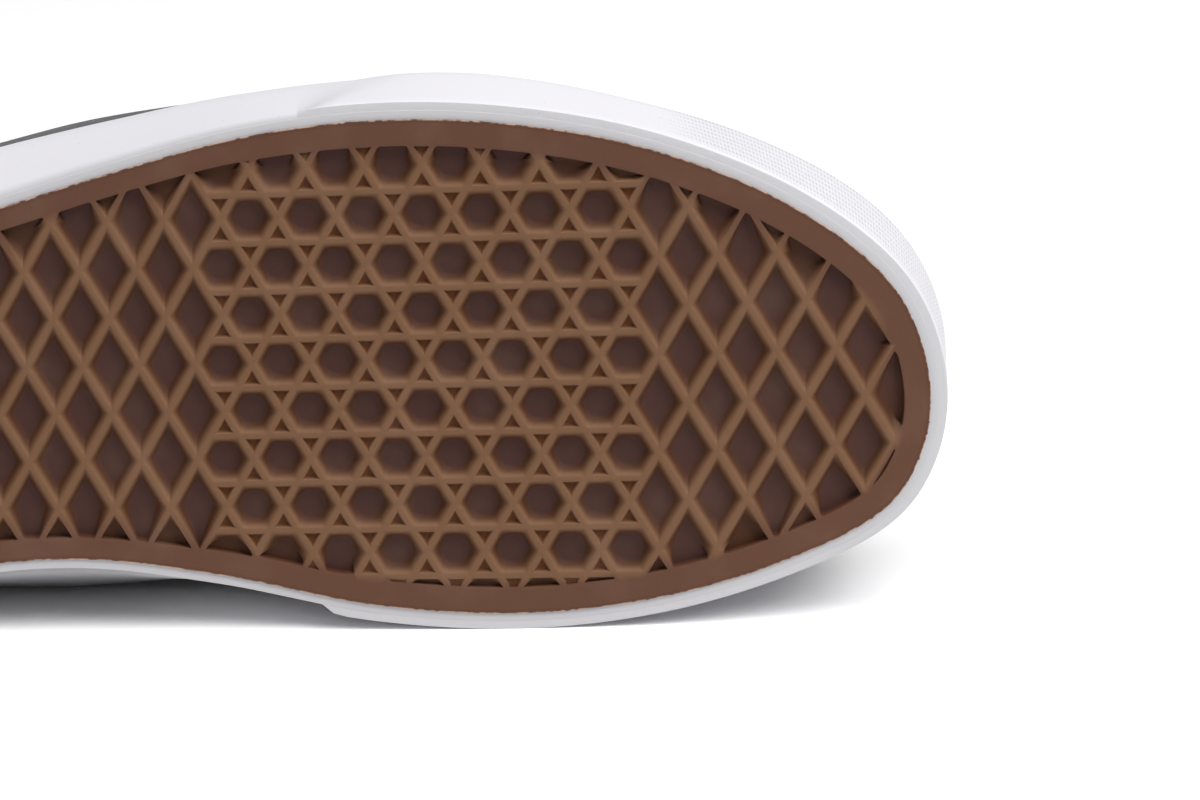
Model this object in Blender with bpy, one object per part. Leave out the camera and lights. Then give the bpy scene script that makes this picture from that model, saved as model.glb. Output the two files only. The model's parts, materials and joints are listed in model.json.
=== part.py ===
"""A low skateboarding shoe for the right foot, lying on its medial side with its sole upright.

The shoe is modelled standing: x runs from the heel to the toe, y to the medial side, z up from the ground.
An empty then turns the whole shoe onto its side. All sizes are in metres.
"""

import math

import bmesh
import bpy
import numpy as np
from mathutils import Matrix, Vector
from mathutils.geometry import delaunay_2d_cdt

# Driving sizes
OUTSOLE_LENGTH = 0.2836
OUTSOLE_WIDTH = 0.100
COLLAR_HEIGHT = 0.082
TOE_SPRING = 0.005
SPRING_START = 0.76  # share of the length where the toe starts to rise

# Sole
OUTSOLE_THICKNESS = 0.005
HEEL_STACK = 0.0150  # ground to the top of the white midsole plate, at the heel
FOREFOOT_STACK = 0.0112
FOXING_THICKNESS = 0.0019
FOXING_HEEL_HEIGHT = 0.031
FOXING_TOE_HEIGHT = 0.027
FOXING_RECESS = 0.0008  # the white wall ends this far above the ground
BUMPER_THICKNESS = 0.0013
BUMPER_DROP = 0.0030  # the bumper ends this far below the foxing's top edge
INSOLE_THICKNESS = 0.004

# Tread
TREAD_CENTRE = 0.669  # share of the length where the lattice has its origin
CELL_PITCH = 0.0114
CELL_GROWTH = 0.0030  # the cells grow by this share from one cell to the next, towards the toe
RIB_WIDTH = 0.0020
POCKET_DEPTH = 0.0024
POCKET_WALL_RUN = 0.0011  # how far a pocket's wall leans inwards on its way to the floor
RIM_WIDTH = 0.0050
STAR_ZONE = (-4.1, 3.1)  # cells from the lattice origin where level ribs join the slanting ones
SMALLEST_POCKET = 0.0022  # a pocket that the rim cuts narrower than this is left out

# Upper
UPPER_WALL = 0.0024
OVERLAY_THICKNESS = 0.0012
COLLAR_PAD = 0.0055
TONGUE_THICKNESS = 0.0045
TONGUE_TOP = 0.026  # how far the tongue stands out beyond the top eyelets
GAP = 0.0003  # between two pieces that meet
TUCK_GAP = 0.0006  # between the upper and the foxing, whose wall twists there
TONGUE_GAP = 0.0009  # between the upper's lining and the tongue
LACE_WIDTH = 0.0078
LACE_THICKNESS = 0.0015
LACE_GAP = 0.0010  # under a bar of lace, over the curved eyestay
EYELET_RADIUS = 0.0040
EYELET_HOLE = 0.0022
EYELET_THICKNESS = 0.0009
EYELET_GAP = 0.0006  # a flat ring needs more room over the curved eyestay
EYELET_ROWS = 6
EYELET_FIRST, EYELET_LAST = 6.2, 9.2  # stations of the top and bottom eyelets
EYELET_INSET = 0.0085  # from the throat's edge
EYESTAY_WIDTH = 0.0175

# The sole's outline, from the heel to the toe: a row for each station, with the lateral and the medial point.
# Along is a share of the outsole's length, across a share of its width, and lean is how far the wall leans
# outwards for its height. Across and middle count towards the lateral side.
SOLE_COLUMNS = ("lateral_along", "lateral_across", "lateral_lean", "medial_along", "medial_across", "medial_lean")
SOLE_ROWS = (
    (0.000, -0.165, 0.03, 0.000, -0.165, 0.03),  # back of the heel
    (0.015, -0.005, 0.01, 0.0135, -0.320, -0.01),
    (0.063, 0.133, -0.02, 0.059, -0.465, -0.05),
    (0.140, 0.202, -0.01, 0.140, -0.526, -0.07),  # heel
    (0.239, 0.243, 0.06, 0.232, -0.488, 0.06),
    (0.338, 0.307, 0.11, 0.317, -0.415, 0.25),  # waist
    (0.433, 0.387, 0.07, 0.408, -0.391, 0.36),
    (0.521, 0.450, 0.01, 0.507, -0.432, 0.26),
    (0.609, 0.482, -0.05, 0.613, -0.501, -0.01),
    (0.697, 0.473, -0.06, 0.715, -0.524, -0.08),  # ball
    (0.789, 0.429, -0.05, 0.810, -0.496, -0.07),
    (0.874, 0.343, -0.05, 0.895, -0.429, -0.06),
    (0.944, 0.223, -0.04, 0.962, -0.333, -0.04),
    (0.985, 0.086, -0.03, 0.991, -0.225, -0.03),
    (1.000, -0.080, -0.02, 1.000, -0.080, -0.02),  # tip of the toe
)

# The upper's top line at the same stations: the collar, then the throat, then the ridge of the vamp.
# Along and middle are shares of the outsole's length and width, opening is half the gap as a share of the
# width, height a share of the collar's. Rise and reach are the pulls at the lower and upper end of the
# section's curve, as shares of the collar's height and the outsole's width, and dip is how steeply the wall
# meets its top edge, in degrees.
TOP_COLUMNS = ("along", "middle", "opening", "height", "rise", "reach", "dip")
TOP_ROWS = (
    (0.026, -0.165, 0.000, 1.000, 0.26, 0.20, 84),
    (0.038, -0.163, 0.190, 0.990, 0.26, 0.20, 84),
    (0.086, -0.158, 0.315, 0.950, 0.25, 0.19, 84),
    (0.154, -0.150, 0.365, 0.865, 0.23, 0.17, 84),
    (0.236, -0.130, 0.385, 0.810, 0.20, 0.16, 82),
    (0.316, -0.100, 0.345, 0.865, 0.23, 0.18, 72),
    (0.388, -0.070, 0.235, 1.060, 0.34, 0.25, 54),
    (0.465, -0.050, 0.172, 0.985, 0.32, 0.25, 41),
    (0.535, -0.040, 0.150, 0.875, 0.26, 0.26, 31),
    (0.598, -0.038, 0.125, 0.775, 0.21, 0.27, 20),
    (0.640, -0.038, 0.000, 0.722, 0.17, 0.27, 0),
    (0.719, -0.045, 0.000, 0.642, 0.145, 0.24, 0),
    (0.797, -0.058, 0.000, 0.590, 0.13, 0.20, 0),
    (0.859, -0.070, 0.000, 0.556, 0.12, 0.18, 0),
    (0.878, -0.075, 0.000, 0.546, 0.12, 0.17, 0),
)

STATION_COUNT = len(SOLE_ROWS)
TOE_STATION = STATION_COUNT - 1
LOOP = 2 * TOE_STATION  # stations once around the shoe: out along the medial side, back along the lateral
STEPS_PER_STATION = 2
THROAT_STATION = 10  # where the throat closes into the vamp's ridge
COLLAR_END_STATION = 5.0
WALL_LEAN_KEPT = 0.3  # share of the foxing's lean that the upper keeps above it
BUMPER_MEDIAL, BUMPER_LATERAL = 7.5, 20.5  # stations where the toe bumper starts and ends

# Where each piece of the skin lies: 0 is the foxing's top edge and 1 the top line
SKIN_STEPS = (-1.0, -0.5, 0.0, 0.14, 0.30, 0.46, 0.62, 0.78, 0.90, 1.0)
OVERLAY_FOOT = 0.035
TOE_CAP_SIDE, TOE_CAP_RIDGE = 0.825, 0.775  # where its back edge crosses the foxing and the ridge
COUNTER_STATION = 3.6
COUNTER_TOP, COUNTER_END = 0.74, 0.14
EYESTAY_FIRST_STATION = 5.75
PAD_FOOT = 0.40
TONGUE_FOOT = 0.74
TONGUE_FIRST_STATION, TONGUE_LAST_STATION = 6.0, 10.5
TONGUE_CROWN = 0.36
LACE_OVER_TONGUE = 0.0006

HUE = {
    "outsole": (0.16, 0.068, 0.035, 0.6),
    "rubber": (0.80, 0.79, 0.81, 0.5),
    "insole": (0.10, 0.10, 0.11, 0.9),
    "canvas": (0.018, 0.018, 0.021, 0.9),
    "suede": (0.014, 0.014, 0.016, 0.95),
    "lining": (0.035, 0.035, 0.04, 0.9),
    "lace": (0.75, 0.74, 0.72, 0.85),
    "eyelet": (0.03, 0.03, 0.032, 0.35),
}


def around(values, station):
    """A smooth closed curve through one value for each station, read at any station."""
    count = len(values)
    whole = math.floor(station)
    part = station - whole
    a, b, c, d = (values[(whole + k) % count] for k in (-1, 0, 1, 2))
    return b + 0.5 * part * (c - a + part * (2 * a - 5 * b + 4 * c - d + part * (3 * (b - c) + d - a)))


def once_around(medial, lateral):
    """A column's values in the order of the stations around the shoe."""
    return list(medial) + list(lateral[-2:0:-1])


def column(rows, columns, name):
    return [row[columns.index(name)] for row in rows]


def sole_values(name):
    lateral = column(SOLE_ROWS, SOLE_COLUMNS, "lateral_" + name)
    medial = column(SOLE_ROWS, SOLE_COLUMNS, "medial_" + name)
    return once_around(medial, lateral)


SOLE = {name: sole_values(name) for name in ("along", "across", "lean")}
TOP = {name: once_around(column(TOP_ROWS, TOP_COLUMNS, name), column(TOP_ROWS, TOP_COLUMNS, name)) for name in TOP_COLUMNS}


def between(start, end, share):
    return start + (end - start) * share


def smooth_share(value, start, end):
    share = min(1.0, max(0.0, (value - start) / (end - start)))
    return share * share * (3 - 2 * share)


def toe_lift(x):
    """How far the sole has risen off the ground at x."""
    start = SPRING_START * OUTSOLE_LENGTH
    share = max(0.0, x - start) / (OUTSOLE_LENGTH - start)
    return TOE_SPRING * share * share


def heel_to_forefoot(x, at_heel, at_forefoot):
    return at_heel + (at_forefoot - at_heel) * smooth_share(x, 0.25 * OUTSOLE_LENGTH, 0.62 * OUTSOLE_LENGTH)


def outline(station):
    """The inner face of the foxing at the ground, and its outward direction."""
    x = around(SOLE["along"], station) * OUTSOLE_LENGTH
    y = -around(SOLE["across"], station) * OUTSOLE_WIDTH
    step = 0.02
    ahead = around(SOLE["along"], station + step) - around(SOLE["along"], station - step)
    aside = around(SOLE["across"], station - step) - around(SOLE["across"], station + step)
    outward = Vector((-aside * OUTSOLE_WIDTH, ahead * OUTSOLE_LENGTH)).normalized()
    return Vector((x, y)), outward


def wall_point(station, height, out):
    """A point of the sole's wall at a height above the ground, moved outwards."""
    place, outward = outline(station)
    place = place + outward * (around(SOLE["lean"], station) * height + out)
    return Vector((place.x, place.y, height + toe_lift(place.x)))


def foxing_height(station):
    return heel_to_forefoot(outline(station)[0].x, FOXING_HEEL_HEIGHT, FOXING_TOE_HEIGHT)


def plate_height(station):
    return heel_to_forefoot(outline(station)[0].x, HEEL_STACK, FOREFOOT_STACK)


def side_of(station):
    """1 on the medial side and -1 on the lateral side."""
    return 1 if station % LOOP <= TOE_STATION else -1


def opening(station):
    """Half the gap between the two top edges."""
    from_heel = min(station % LOOP, LOOP - station % LOOP)
    if from_heel >= THROAT_STATION:
        return 0.0
    return max(0.0, around(TOP["opening"], station)) * OUTSOLE_WIDTH


def top_point(station):
    """A point of the collar, the throat's edge or the vamp's ridge."""
    x = around(TOP["along"], station) * OUTSOLE_LENGTH
    y = side_of(station) * opening(station) - around(TOP["middle"], station) * OUTSOLE_WIDTH
    return Vector((x, y, around(TOP["height"], station) * COLLAR_HEIGHT + toe_lift(x)))


def ridge_slope(station):
    """How steeply the vamp's ridge falls, where the two sides meet on it."""
    from_heel = min(station % LOOP, LOOP - station % LOOP)
    if from_heel < THROAT_STATION - 0.5:
        return 0.0
    here, behind = top_point(from_heel), top_point(from_heel - 0.4)
    return (here.z - behind.z) / (here.x - behind.x)


def section_curve(station):
    """The four points of the Bezier curve that the upper follows from the foxing to its top edge."""
    foot = wall_point(station, foxing_height(station), -TUCK_GAP)
    outward = outline(station)[1]
    lean = around(SOLE["lean"], station) * WALL_LEAN_KEPT
    up = Vector((outward.x * lean, outward.y * lean, 1.0)).normalized()
    top = top_point(station)
    dip = math.radians(max(0.0, around(TOP["dip"], station)))
    flat = math.cos(dip)
    pull = Vector((outward.x * flat, outward.y * flat, outward.x * flat * ridge_slope(station) - math.sin(dip)))
    rise = around(TOP["rise"], station) * COLLAR_HEIGHT
    reach = around(TOP["reach"], station) * OUTSOLE_WIDTH
    return foot, foot + up * rise, top + pull * reach, top


def skin_point(station, share):
    """The upper's outer face. Below 0 it runs down inside the foxing to the midsole plate, at -1."""
    if share < 0:
        low = plate_height(station) + GAP
        return wall_point(station, between(foxing_height(station), low, -share), -TUCK_GAP)
    a, b, c, d = section_curve(station)
    rest = 1 - share
    return a * rest**3 + b * 3 * share * rest**2 + c * 3 * share**2 * rest + d * share**3


def skin_normal(station, share):
    step = 0.03
    low, high = max(-1.0, share - step), min(1.0, share + step)
    up = skin_point(station, high) - skin_point(station, low)
    near, far = station - step, station + step
    if share >= 1.0 and opening(near) == 0.0 and opening(far) > 0.0:
        far = station
    elif share >= 1.0 and opening(far) == 0.0 and opening(near) > 0.0:
        near = station
    along = skin_point(far, share) - skin_point(near, share)
    return up.cross(along).normalized()


def skin_pair(station, share, inner, outer):
    """A point of the skin with the two faces that a layer has there, at distances out from the skin."""
    base, normal = skin_point(station, share), skin_normal(station, share)
    return base, base + normal * outer, base + normal * inner


def share_from_top(station, distance):
    """The share of the skin that lies a distance down from the top line."""
    steps = 40
    gone, before = 0.0, skin_point(station, 1.0)
    for k in range(1, steps + 1):
        here = skin_point(station, 1 - k / steps)
        piece = (here - before).length
        if gone + piece >= distance:
            return 1 - (k - 1 + (distance - gone) / piece) / steps
        gone, before = gone + piece, here
    return 0.0


def station_at(share, x, low, high):
    """The station between two others where the skin passes x."""
    for _ in range(30):
        middle = (low + high) / 2
        if (skin_point(middle, share).x < x) == (low < TOE_STATION):
            low = middle
        else:
            high = middle
    return (low + high) / 2


def stations_between(first, last):
    """The stations that every piece shares between two places, with the two ends."""
    steps = range(math.ceil(first * STEPS_PER_STATION), math.floor(last * STEPS_PER_STATION) + 1)
    found = [first] + [k / STEPS_PER_STATION for k in steps] + [last]
    return [s for k, s in enumerate(found) if k == 0 or s - found[k - 1] > 1e-6]


def paint(name):
    made = bpy.data.materials.get(name) or bpy.data.materials.new(name)
    made.use_nodes = True
    shader = made.node_tree.nodes["Principled BSDF"]
    red, green, blue, roughness = HUE[name]
    shader.inputs["Base Color"].default_value = (red, green, blue, 1)
    shader.inputs["Roughness"].default_value = roughness
    shader.inputs["Metallic"].default_value = 0.8 if name == "eyelet" else 0.0
    return made


def new_piece(name, points, faces, material, smooth=True):
    """One closed mesh object with its faces pointing outwards."""
    mesh = bpy.data.meshes.new(name)
    mesh.from_pydata([tuple(p) for p in points], [], faces)
    shape = bmesh.new()
    shape.from_mesh(mesh)
    bmesh.ops.recalc_face_normals(shape, faces=shape.faces)
    if shape.calc_volume(signed=True) < 0:
        bmesh.ops.reverse_faces(shape, faces=shape.faces)
    shape.to_mesh(mesh)
    shape.free()
    if smooth:
        mesh.shade_smooth()
        mesh.set_sharp_from_angle(angle=math.radians(40))
    mesh.materials.append(paint(material))
    piece = bpy.data.objects.new(name, mesh)
    bpy.context.scene.collection.objects.link(piece)
    return piece


def layer(name, grids, material):
    """A closed solid from grids of (base, outer, inner) points. Points with the same base are joined."""
    places, outers, inners, counts = {}, [], [], []
    faces = set()
    for grid in grids:
        numbers = []
        for row in grid:
            line = []
            for base, outer, inner in row:
                key = tuple(round(c, 6) for c in base)
                if key not in places:
                    places[key] = len(outers)
                    outers.append(outer.copy())
                    inners.append(inner.copy())
                    counts.append(1)
                else:
                    k = places[key]
                    outers[k] += outer
                    inners[k] += inner
                    counts[k] += 1
                line.append(places[key])
            numbers.append(line)
        for a, b in zip(numbers, numbers[1:]):
            for k in range(len(a) - 1):
                for face in ((a[k], b[k], b[k + 1]), (a[k], b[k + 1], a[k + 1])):
                    if len(set(face)) == 3:
                        faces.add(face)
    count = len(outers)
    points = [p / n for p, n in zip(outers, counts)] + [p / n for p, n in zip(inners, counts)]
    sides = {}
    for face in faces:
        for a, b in zip(face, face[1:] + face[:1]):
            sides.setdefault(frozenset((a, b)), []).append((a, b))
    shell = sorted(faces) + [tuple(count + k for k in reversed(face)) for face in sorted(faces)]
    rims = sorted(found[0] for found in sides.values() if len(found) == 1)
    shell += [(b, a, count + a, count + b) for a, b in rims]
    return new_piece(name, points, shell, material)


def skin_grid(stations, shares, inner, outer):
    return [[skin_pair(s, v, inner, outer) for v in shares] for s in stations]


def ladder(bottom_first, count):
    """Faces that fill a ring of points with rungs from the medial to the lateral side."""
    faces = []
    for k in range(count // 2):
        a, b = k, k + 1
        c, d = count - k - 1, (count - k) % count
        face = [bottom_first + n for n in dict.fromkeys((a, b, c, d))]
        if len(face) >= 3:
            faces.append(tuple(face))
    return faces


def rings_solid(name, rings, bands, caps, material):
    """A closed solid from rings of points around the shoe, joined in bands, with some rings filled."""
    count = len(rings[0])
    points = [p for ring in rings for p in ring]
    faces = []
    for a, b in bands:
        for k in range(count):
            n = (k + 1) % count
            faces.append((a * count + k, a * count + n, b * count + n))
            faces.append((a * count + k, b * count + n, b * count + k))
    for cap in caps:
        faces += ladder(cap * count, count)
    return new_piece(name, points, faces, material)


def all_stations():
    return [k / STEPS_PER_STATION for k in range(LOOP * STEPS_PER_STATION)]


def wall_ring(height_of, out):
    return [wall_point(s, height_of(s), out) for s in all_stations()]


def lattice_point(across_cells, up_cells):
    """A place in the tread's lattice, in cells, on the sole."""
    scale = CELL_PITCH / (1 - CELL_GROWTH * across_cells)
    return Vector((TREAD_CENTRE * OUTSOLE_LENGTH + across_cells * scale, up_cells * scale))


def cell_shape(kind, centre, shrink):
    """The corners of a pocket in the lattice: diamond, hexagon, or one of the two small triangles."""
    tall = math.sqrt(3) / 2
    corners = {
        "diamond": ((-0.5, 0), (0, -tall), (0.5, 0), (0, tall)),
        "hexagon": ((-0.5, 0), (-0.25, -tall / 2), (0.25, -tall / 2), (0.5, 0), (0.25, tall / 2), (-0.25, tall / 2)),
        "triangle_up": ((0, -tall / 3), (0.25, tall / 6), (-0.25, tall / 6)),
        "triangle_down": ((0, tall / 3), (-0.25, -tall / 6), (0.25, -tall / 6)),
    }[kind]
    return [lattice_point(centre[0] + x * shrink, centre[1] + y * shrink) for x, y in corners]


def cells():
    """Every pocket of the lattice: its kind, its centre in cells and the radius that fits in it, in cells."""
    row_step = math.sqrt(3) / 2
    inner = math.sqrt(3) / 4
    found = []
    low = math.floor(-TREAD_CENTRE * OUTSOLE_LENGTH / CELL_PITCH * 1.1)
    high = math.ceil((1 - TREAD_CENTRE) * OUTSOLE_LENGTH / CELL_PITCH * 1.1)
    rows = math.ceil(OUTSOLE_WIDTH / CELL_PITCH)
    for row in range(-rows, rows + 1):
        for step in range(low, high + 1):
            centre = (step + (0.5 if row % 2 else 0.0), row * row_step)
            starred = STAR_ZONE[0] <= centre[0] <= STAR_ZONE[1]
            found.append(("hexagon" if starred else "diamond", centre, inner))
            crossing = centre[0] + 0.5
            if STAR_ZONE[0] <= crossing <= STAR_ZONE[1]:
                lift = row_step / 3
                found.append(("triangle_up", (crossing, centre[1] + lift), inner / 3))
                found.append(("triangle_down", (crossing, centre[1] - lift), inner / 3))
    return found


def field_edge():
    """The inner edge of the tread's rim: its points, outward directions and whether it bulges out there."""
    steps = 4 * LOOP
    edge = []
    for k in range(steps):
        place, outward = outline(LOOP * k / steps)
        edge.append((place - outward * (RIM_WIDTH + GAP), outward))
    bulging = []
    for k in range(steps):
        turn = edge[k - 1][1].cross(edge[(k + 1) % steps][1])
        bulging.append(turn < 0)
    return [(p, n, b) for (p, n), b in zip(edge, bulging)]


def clipped(shape, place, outward):
    """What is left of a convex shape on the inner side of a line."""
    kept = []
    for a, b in zip(shape, shape[1:] + shape[:1]):
        from_a, from_b = (a - place).dot(outward), (b - place).dot(outward)
        if from_a <= 0:
            kept.append(a)
        if (from_a < 0 < from_b) or (from_b < 0 < from_a):
            kept.append(a.lerp(b, from_a / (from_a - from_b)))
    return kept


def area_and_middle(shape):
    area, middle = 0.0, Vector((0, 0))
    for a, b in zip(shape, shape[1:] + shape[:1]):
        part = a.cross(b) / 2
        area += part
        middle += (a + b) * part / 3
    return area, (middle / area if abs(area) > 1e-12 else Vector((0, 0)))


def narrowest(shape):
    """The least distance from the middle of a convex shape to its sides."""
    middle = area_and_middle(shape)[1]
    found = []
    for a, b in zip(shape, shape[1:] + shape[:1]):
        along = (b - a).normalized()
        found.append(abs((middle - a).cross(along)))
    return min(found)


def within_rim(shape, edge):
    """The shape cut back to the inner edge of the rim, or None if too little is left."""
    middle = area_and_middle(shape)[1]
    near = [e for e in edge if (e[0] - middle).length < 1.3 * CELL_PITCH]
    if not near:
        nearest = min(edge, key=lambda e: (e[0] - middle).length)
        return shape if (middle - nearest[0]).dot(nearest[1]) < 0 else None
    nearest = min(near, key=lambda e: (e[0] - middle).length)
    for place, outward, bulging in near:
        if bulging or place == nearest[0]:
            shape = clipped(shape, place, outward)
            if len(shape) < 3:
                return None
    shape = [p for k, p in enumerate(shape) if (p - shape[k - 1]).length > 0.0004]
    if len(shape) < 3 or 2 * narrowest(shape) < SMALLEST_POCKET:
        return None
    return shape


def pockets():
    """The mouth and the floor of every pocket, as matching loops of points on the sole."""
    edge = field_edge()
    found = []
    for kind, centre, radius in cells():
        shrink = 1 - RIB_WIDTH / 2 / (radius * CELL_PITCH)
        full = cell_shape(kind, centre, shrink)
        shape = within_rim(full, edge)
        if shape is None or (kind.startswith("triangle") and len(shape) != 3):
            continue
        middle = area_and_middle(shape)[1]
        room = narrowest(shape)
        run = min(POCKET_WALL_RUN, 0.45 * room)
        floor = [middle + (p - middle) * (1 - run / room) for p in shape]
        found.append((shape, floor))
    return found


def make_outsole():
    """The gum outsole: a plate with a rim and a field of pockets between crossing ribs."""
    stations = all_stations()
    count = len(stations)
    rim = [wall_point(s, 0.0, -GAP) for s in stations]
    top = [wall_point(s, OUTSOLE_THICKNESS, -TUCK_GAP) for s in stations]
    flat = [Vector((p.x, p.y)) for p in rim]
    loops = [list(reversed(range(count)))]
    floors = []
    for shape, floor in pockets():
        loops.append(list(range(len(flat), len(flat) + len(shape))))
        flat += shape
        floors.append(floor)
    spots, _, tiles, old_spots, _, owners = delaunay_2d_cdt(flat, [], loops, 1, 1e-7)
    points = [Vector((p.x, p.y, toe_lift(p.x))) for p in flat]
    numbers = []
    for spot, old in zip(spots, old_spots):
        if old:
            numbers.append(old[0])
        else:
            numbers.append(len(points))
            points.append(Vector((spot.x, spot.y, toe_lift(spot.x))))
    faces = [tuple(numbers[k] for k in tile) for tile, owner in zip(tiles, owners) if owner == [0]]
    for loop, floor in zip(loops[1:], floors):
        first = len(points)
        points += [Vector((p.x, p.y, toe_lift(p.x) + POCKET_DEPTH)) for p in floor]
        size = len(loop)
        for k in range(size):
            n = (k + 1) % size
            faces.append((loop[k], loop[n], first + n, first + k))
        faces.append(tuple(range(first, first + size)))
    first = len(points)
    points += top
    for k in range(count):
        n = (k + 1) % count
        faces.append((k, n, first + n, first + k))
    faces += ladder(first, count)
    return new_piece("outsole", points, faces, "outsole", smooth=False)


def make_foxing():
    """The white rubber wall around the shoe, with the midsole plate in it."""
    rings = [wall_ring(lambda s: OUTSOLE_THICKNESS + GAP, 0.0), wall_ring(lambda s: FOXING_RECESS, 0.0)]
    for k in range(5):
        rings.append(wall_ring(lambda s: between(FOXING_RECESS, foxing_height(s), k / 4), FOXING_THICKNESS))
    for k in range(3):
        rings.append(wall_ring(lambda s: between(foxing_height(s), plate_height(s), k / 2), 0.0))
    bands = [(k, k + 1) for k in range(len(rings) - 1)]
    return rings_solid("foxing", rings, bands, (0, len(rings) - 1), "rubber")


def make_toe_bumper():
    """The second strip of rubber, around the toe."""
    inner = FOXING_THICKNESS + GAP
    outer = inner + BUMPER_THICKNESS
    grid = []
    for station in stations_between(BUMPER_MEDIAL, BUMPER_LATERAL):
        heights = [between(FOXING_RECESS, foxing_height(station) - BUMPER_DROP, k / 3) for k in range(4)]
        grid.append([(wall_point(station, h, 0), wall_point(station, h, outer), wall_point(station, h, inner)) for h in heights])
    return layer("toe_bumper", [grid], "rubber")


def make_insole():
    """The loose footbed, inside the upper and on the midsole plate."""
    inset = -(TUCK_GAP + UPPER_WALL + GAP)
    low = wall_ring(lambda s: plate_height(s) + GAP, inset)
    high = wall_ring(lambda s: plate_height(s) + GAP + INSOLE_THICKNESS, inset)
    return rings_solid("insole", [low, high], [(0, 1)], (0, 1), "insole")


def make_upper():
    """The one hollow wall: open underneath, at the collar and at the throat."""
    stations = all_stations() + [float(LOOP)]
    return layer("upper", [skin_grid(stations, SKIN_STEPS, -UPPER_WALL, 0.0)], "canvas")


def make_toe_cap():
    """The cap over the toes, whose back edge is an arc across the vamp."""
    steps = 14
    columns = []
    for share in [OVERLAY_FOOT] + [v for v in SKIN_STEPS if v > OVERLAY_FOOT]:
        x = between(TOE_CAP_SIDE, TOE_CAP_RIDGE, math.sin(share * math.pi / 2)) * OUTSOLE_LENGTH
        medial = station_at(share, x, THROAT_STATION - 2, TOE_STATION - 0.1)
        lateral = station_at(share, x, TOE_STATION + 0.1, LOOP - THROAT_STATION + 2)
        places = [between(medial, lateral, k / steps) for k in range(steps + 1)]
        columns.append([skin_pair(s, share, GAP, GAP + OVERLAY_THICKNESS) for s in places])
    return layer("toe_cap", [list(zip(*columns))], "suede")


def make_counter():
    """The stiffened panel around the heel, which falls in a curve towards its ends."""
    grid = []
    for station in stations_between(-COUNTER_STATION, COUNTER_STATION):
        bell = 0.5 + 0.5 * math.cos(math.pi * (abs(station) / COUNTER_STATION) ** 1.4)
        top = between(COUNTER_END, COUNTER_TOP, bell)
        shares = [between(OVERLAY_FOOT, top, k / 4) for k in range(5)]
        grid.append([skin_pair(station, v, GAP, GAP + OVERLAY_THICKNESS) for v in shares])
    return layer("heel_counter", [grid], "suede")


def share_away_from(station, place, distance):
    """The share where the skin, followed down from its top line, gets a distance away from a place."""
    steps = 60
    for k in range(steps + 1):
        if (skin_point(station, 1 - k / steps) - place).length > distance:
            return 1 - k / steps
    return 0.0


def make_eyestay():
    """The facing for the eyelets: both sides of the throat, joined by a round nose in front of it."""
    throat_end = top_point(THROAT_STATION)
    ridge_step = (top_point(THROAT_STATION + 1) - throat_end).length
    reach = EYESTAY_WIDTH / ridge_step
    nose = [THROAT_STATION + reach * share for share in (0.25, 0.5, 0.72, 0.88, 0.96)]
    medial = stations_between(EYESTAY_FIRST_STATION, THROAT_STATION) + nose
    grids = []
    for side in (medial, [LOOP - s for s in reversed(medial)]):
        grid = []
        for station in side:
            if min(station, LOOP - station) > THROAT_STATION:
                foot = share_away_from(station, throat_end, EYESTAY_WIDTH)
            else:
                foot = share_from_top(station, EYESTAY_WIDTH)
            shares = [between(foot, 1.0, k / 3) for k in range(4)]
            grid.append([skin_pair(station, v, GAP, GAP + OVERLAY_THICKNESS) for v in shares])
        grids.append(grid)
    return layer("eyestay", grids, "suede")


def make_collar_pad():
    """The padding inside the collar, from one side of the throat around the heel to the other."""
    steps = 5
    outer = -(UPPER_WALL + GAP)
    grid = []
    for station in stations_between(-COLLAR_END_STATION, COLLAR_END_STATION):
        ends = 1 - 0.6 * (abs(station) / COLLAR_END_STATION) ** 6
        row = []
        for k in range(steps + 1):
            share = PAD_FOOT + (1 - PAD_FOOT) * k / steps
            fullness = math.sin(math.pi * (0.12 + 0.70 * k / steps)) * ends
            row.append(skin_pair(station, share, outer - COLLAR_PAD * fullness, outer))
        grid.append(row)
    return layer("collar_pad", [grid], "lining")


def throat_sides(station, height, shares):
    """Points up the medial wall and down the lateral wall, at a height over the skin."""
    sides = []
    for place in (station, LOOP - station):
        sides.append([skin_point(place, v) + skin_normal(place, v) * height for v in shares])
    return sides[0], sides[1][::-1]


def arch(start, end, rise, steps):
    """Points of a curve from start to end that rises in its middle, with both ends."""
    third = (end - start) / 3
    lift = Vector((0, 0, rise / 0.75))
    b, c = start + third + lift, end - third + lift
    found = []
    for k in range(steps + 1):
        share = k / steps
        rest = 1 - share
        found.append(start * rest**3 + b * 3 * share * rest**2 + c * 3 * share**2 * rest + end * share**3)
    return found


def tongue_line(station, depth, shares, arch_steps):
    """One line across the tongue, from under one wall to under the other."""
    medial, lateral = throat_sides(station, -depth, shares)
    if opening(station) == 0.0:
        over = [(medial[-1] + lateral[0]) / 2] * (arch_steps + 1)
    else:
        over = arch(medial[-1], lateral[0], TONGUE_CROWN * opening(station), arch_steps)
    return medial[:-1] + over + lateral[1:]


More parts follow.
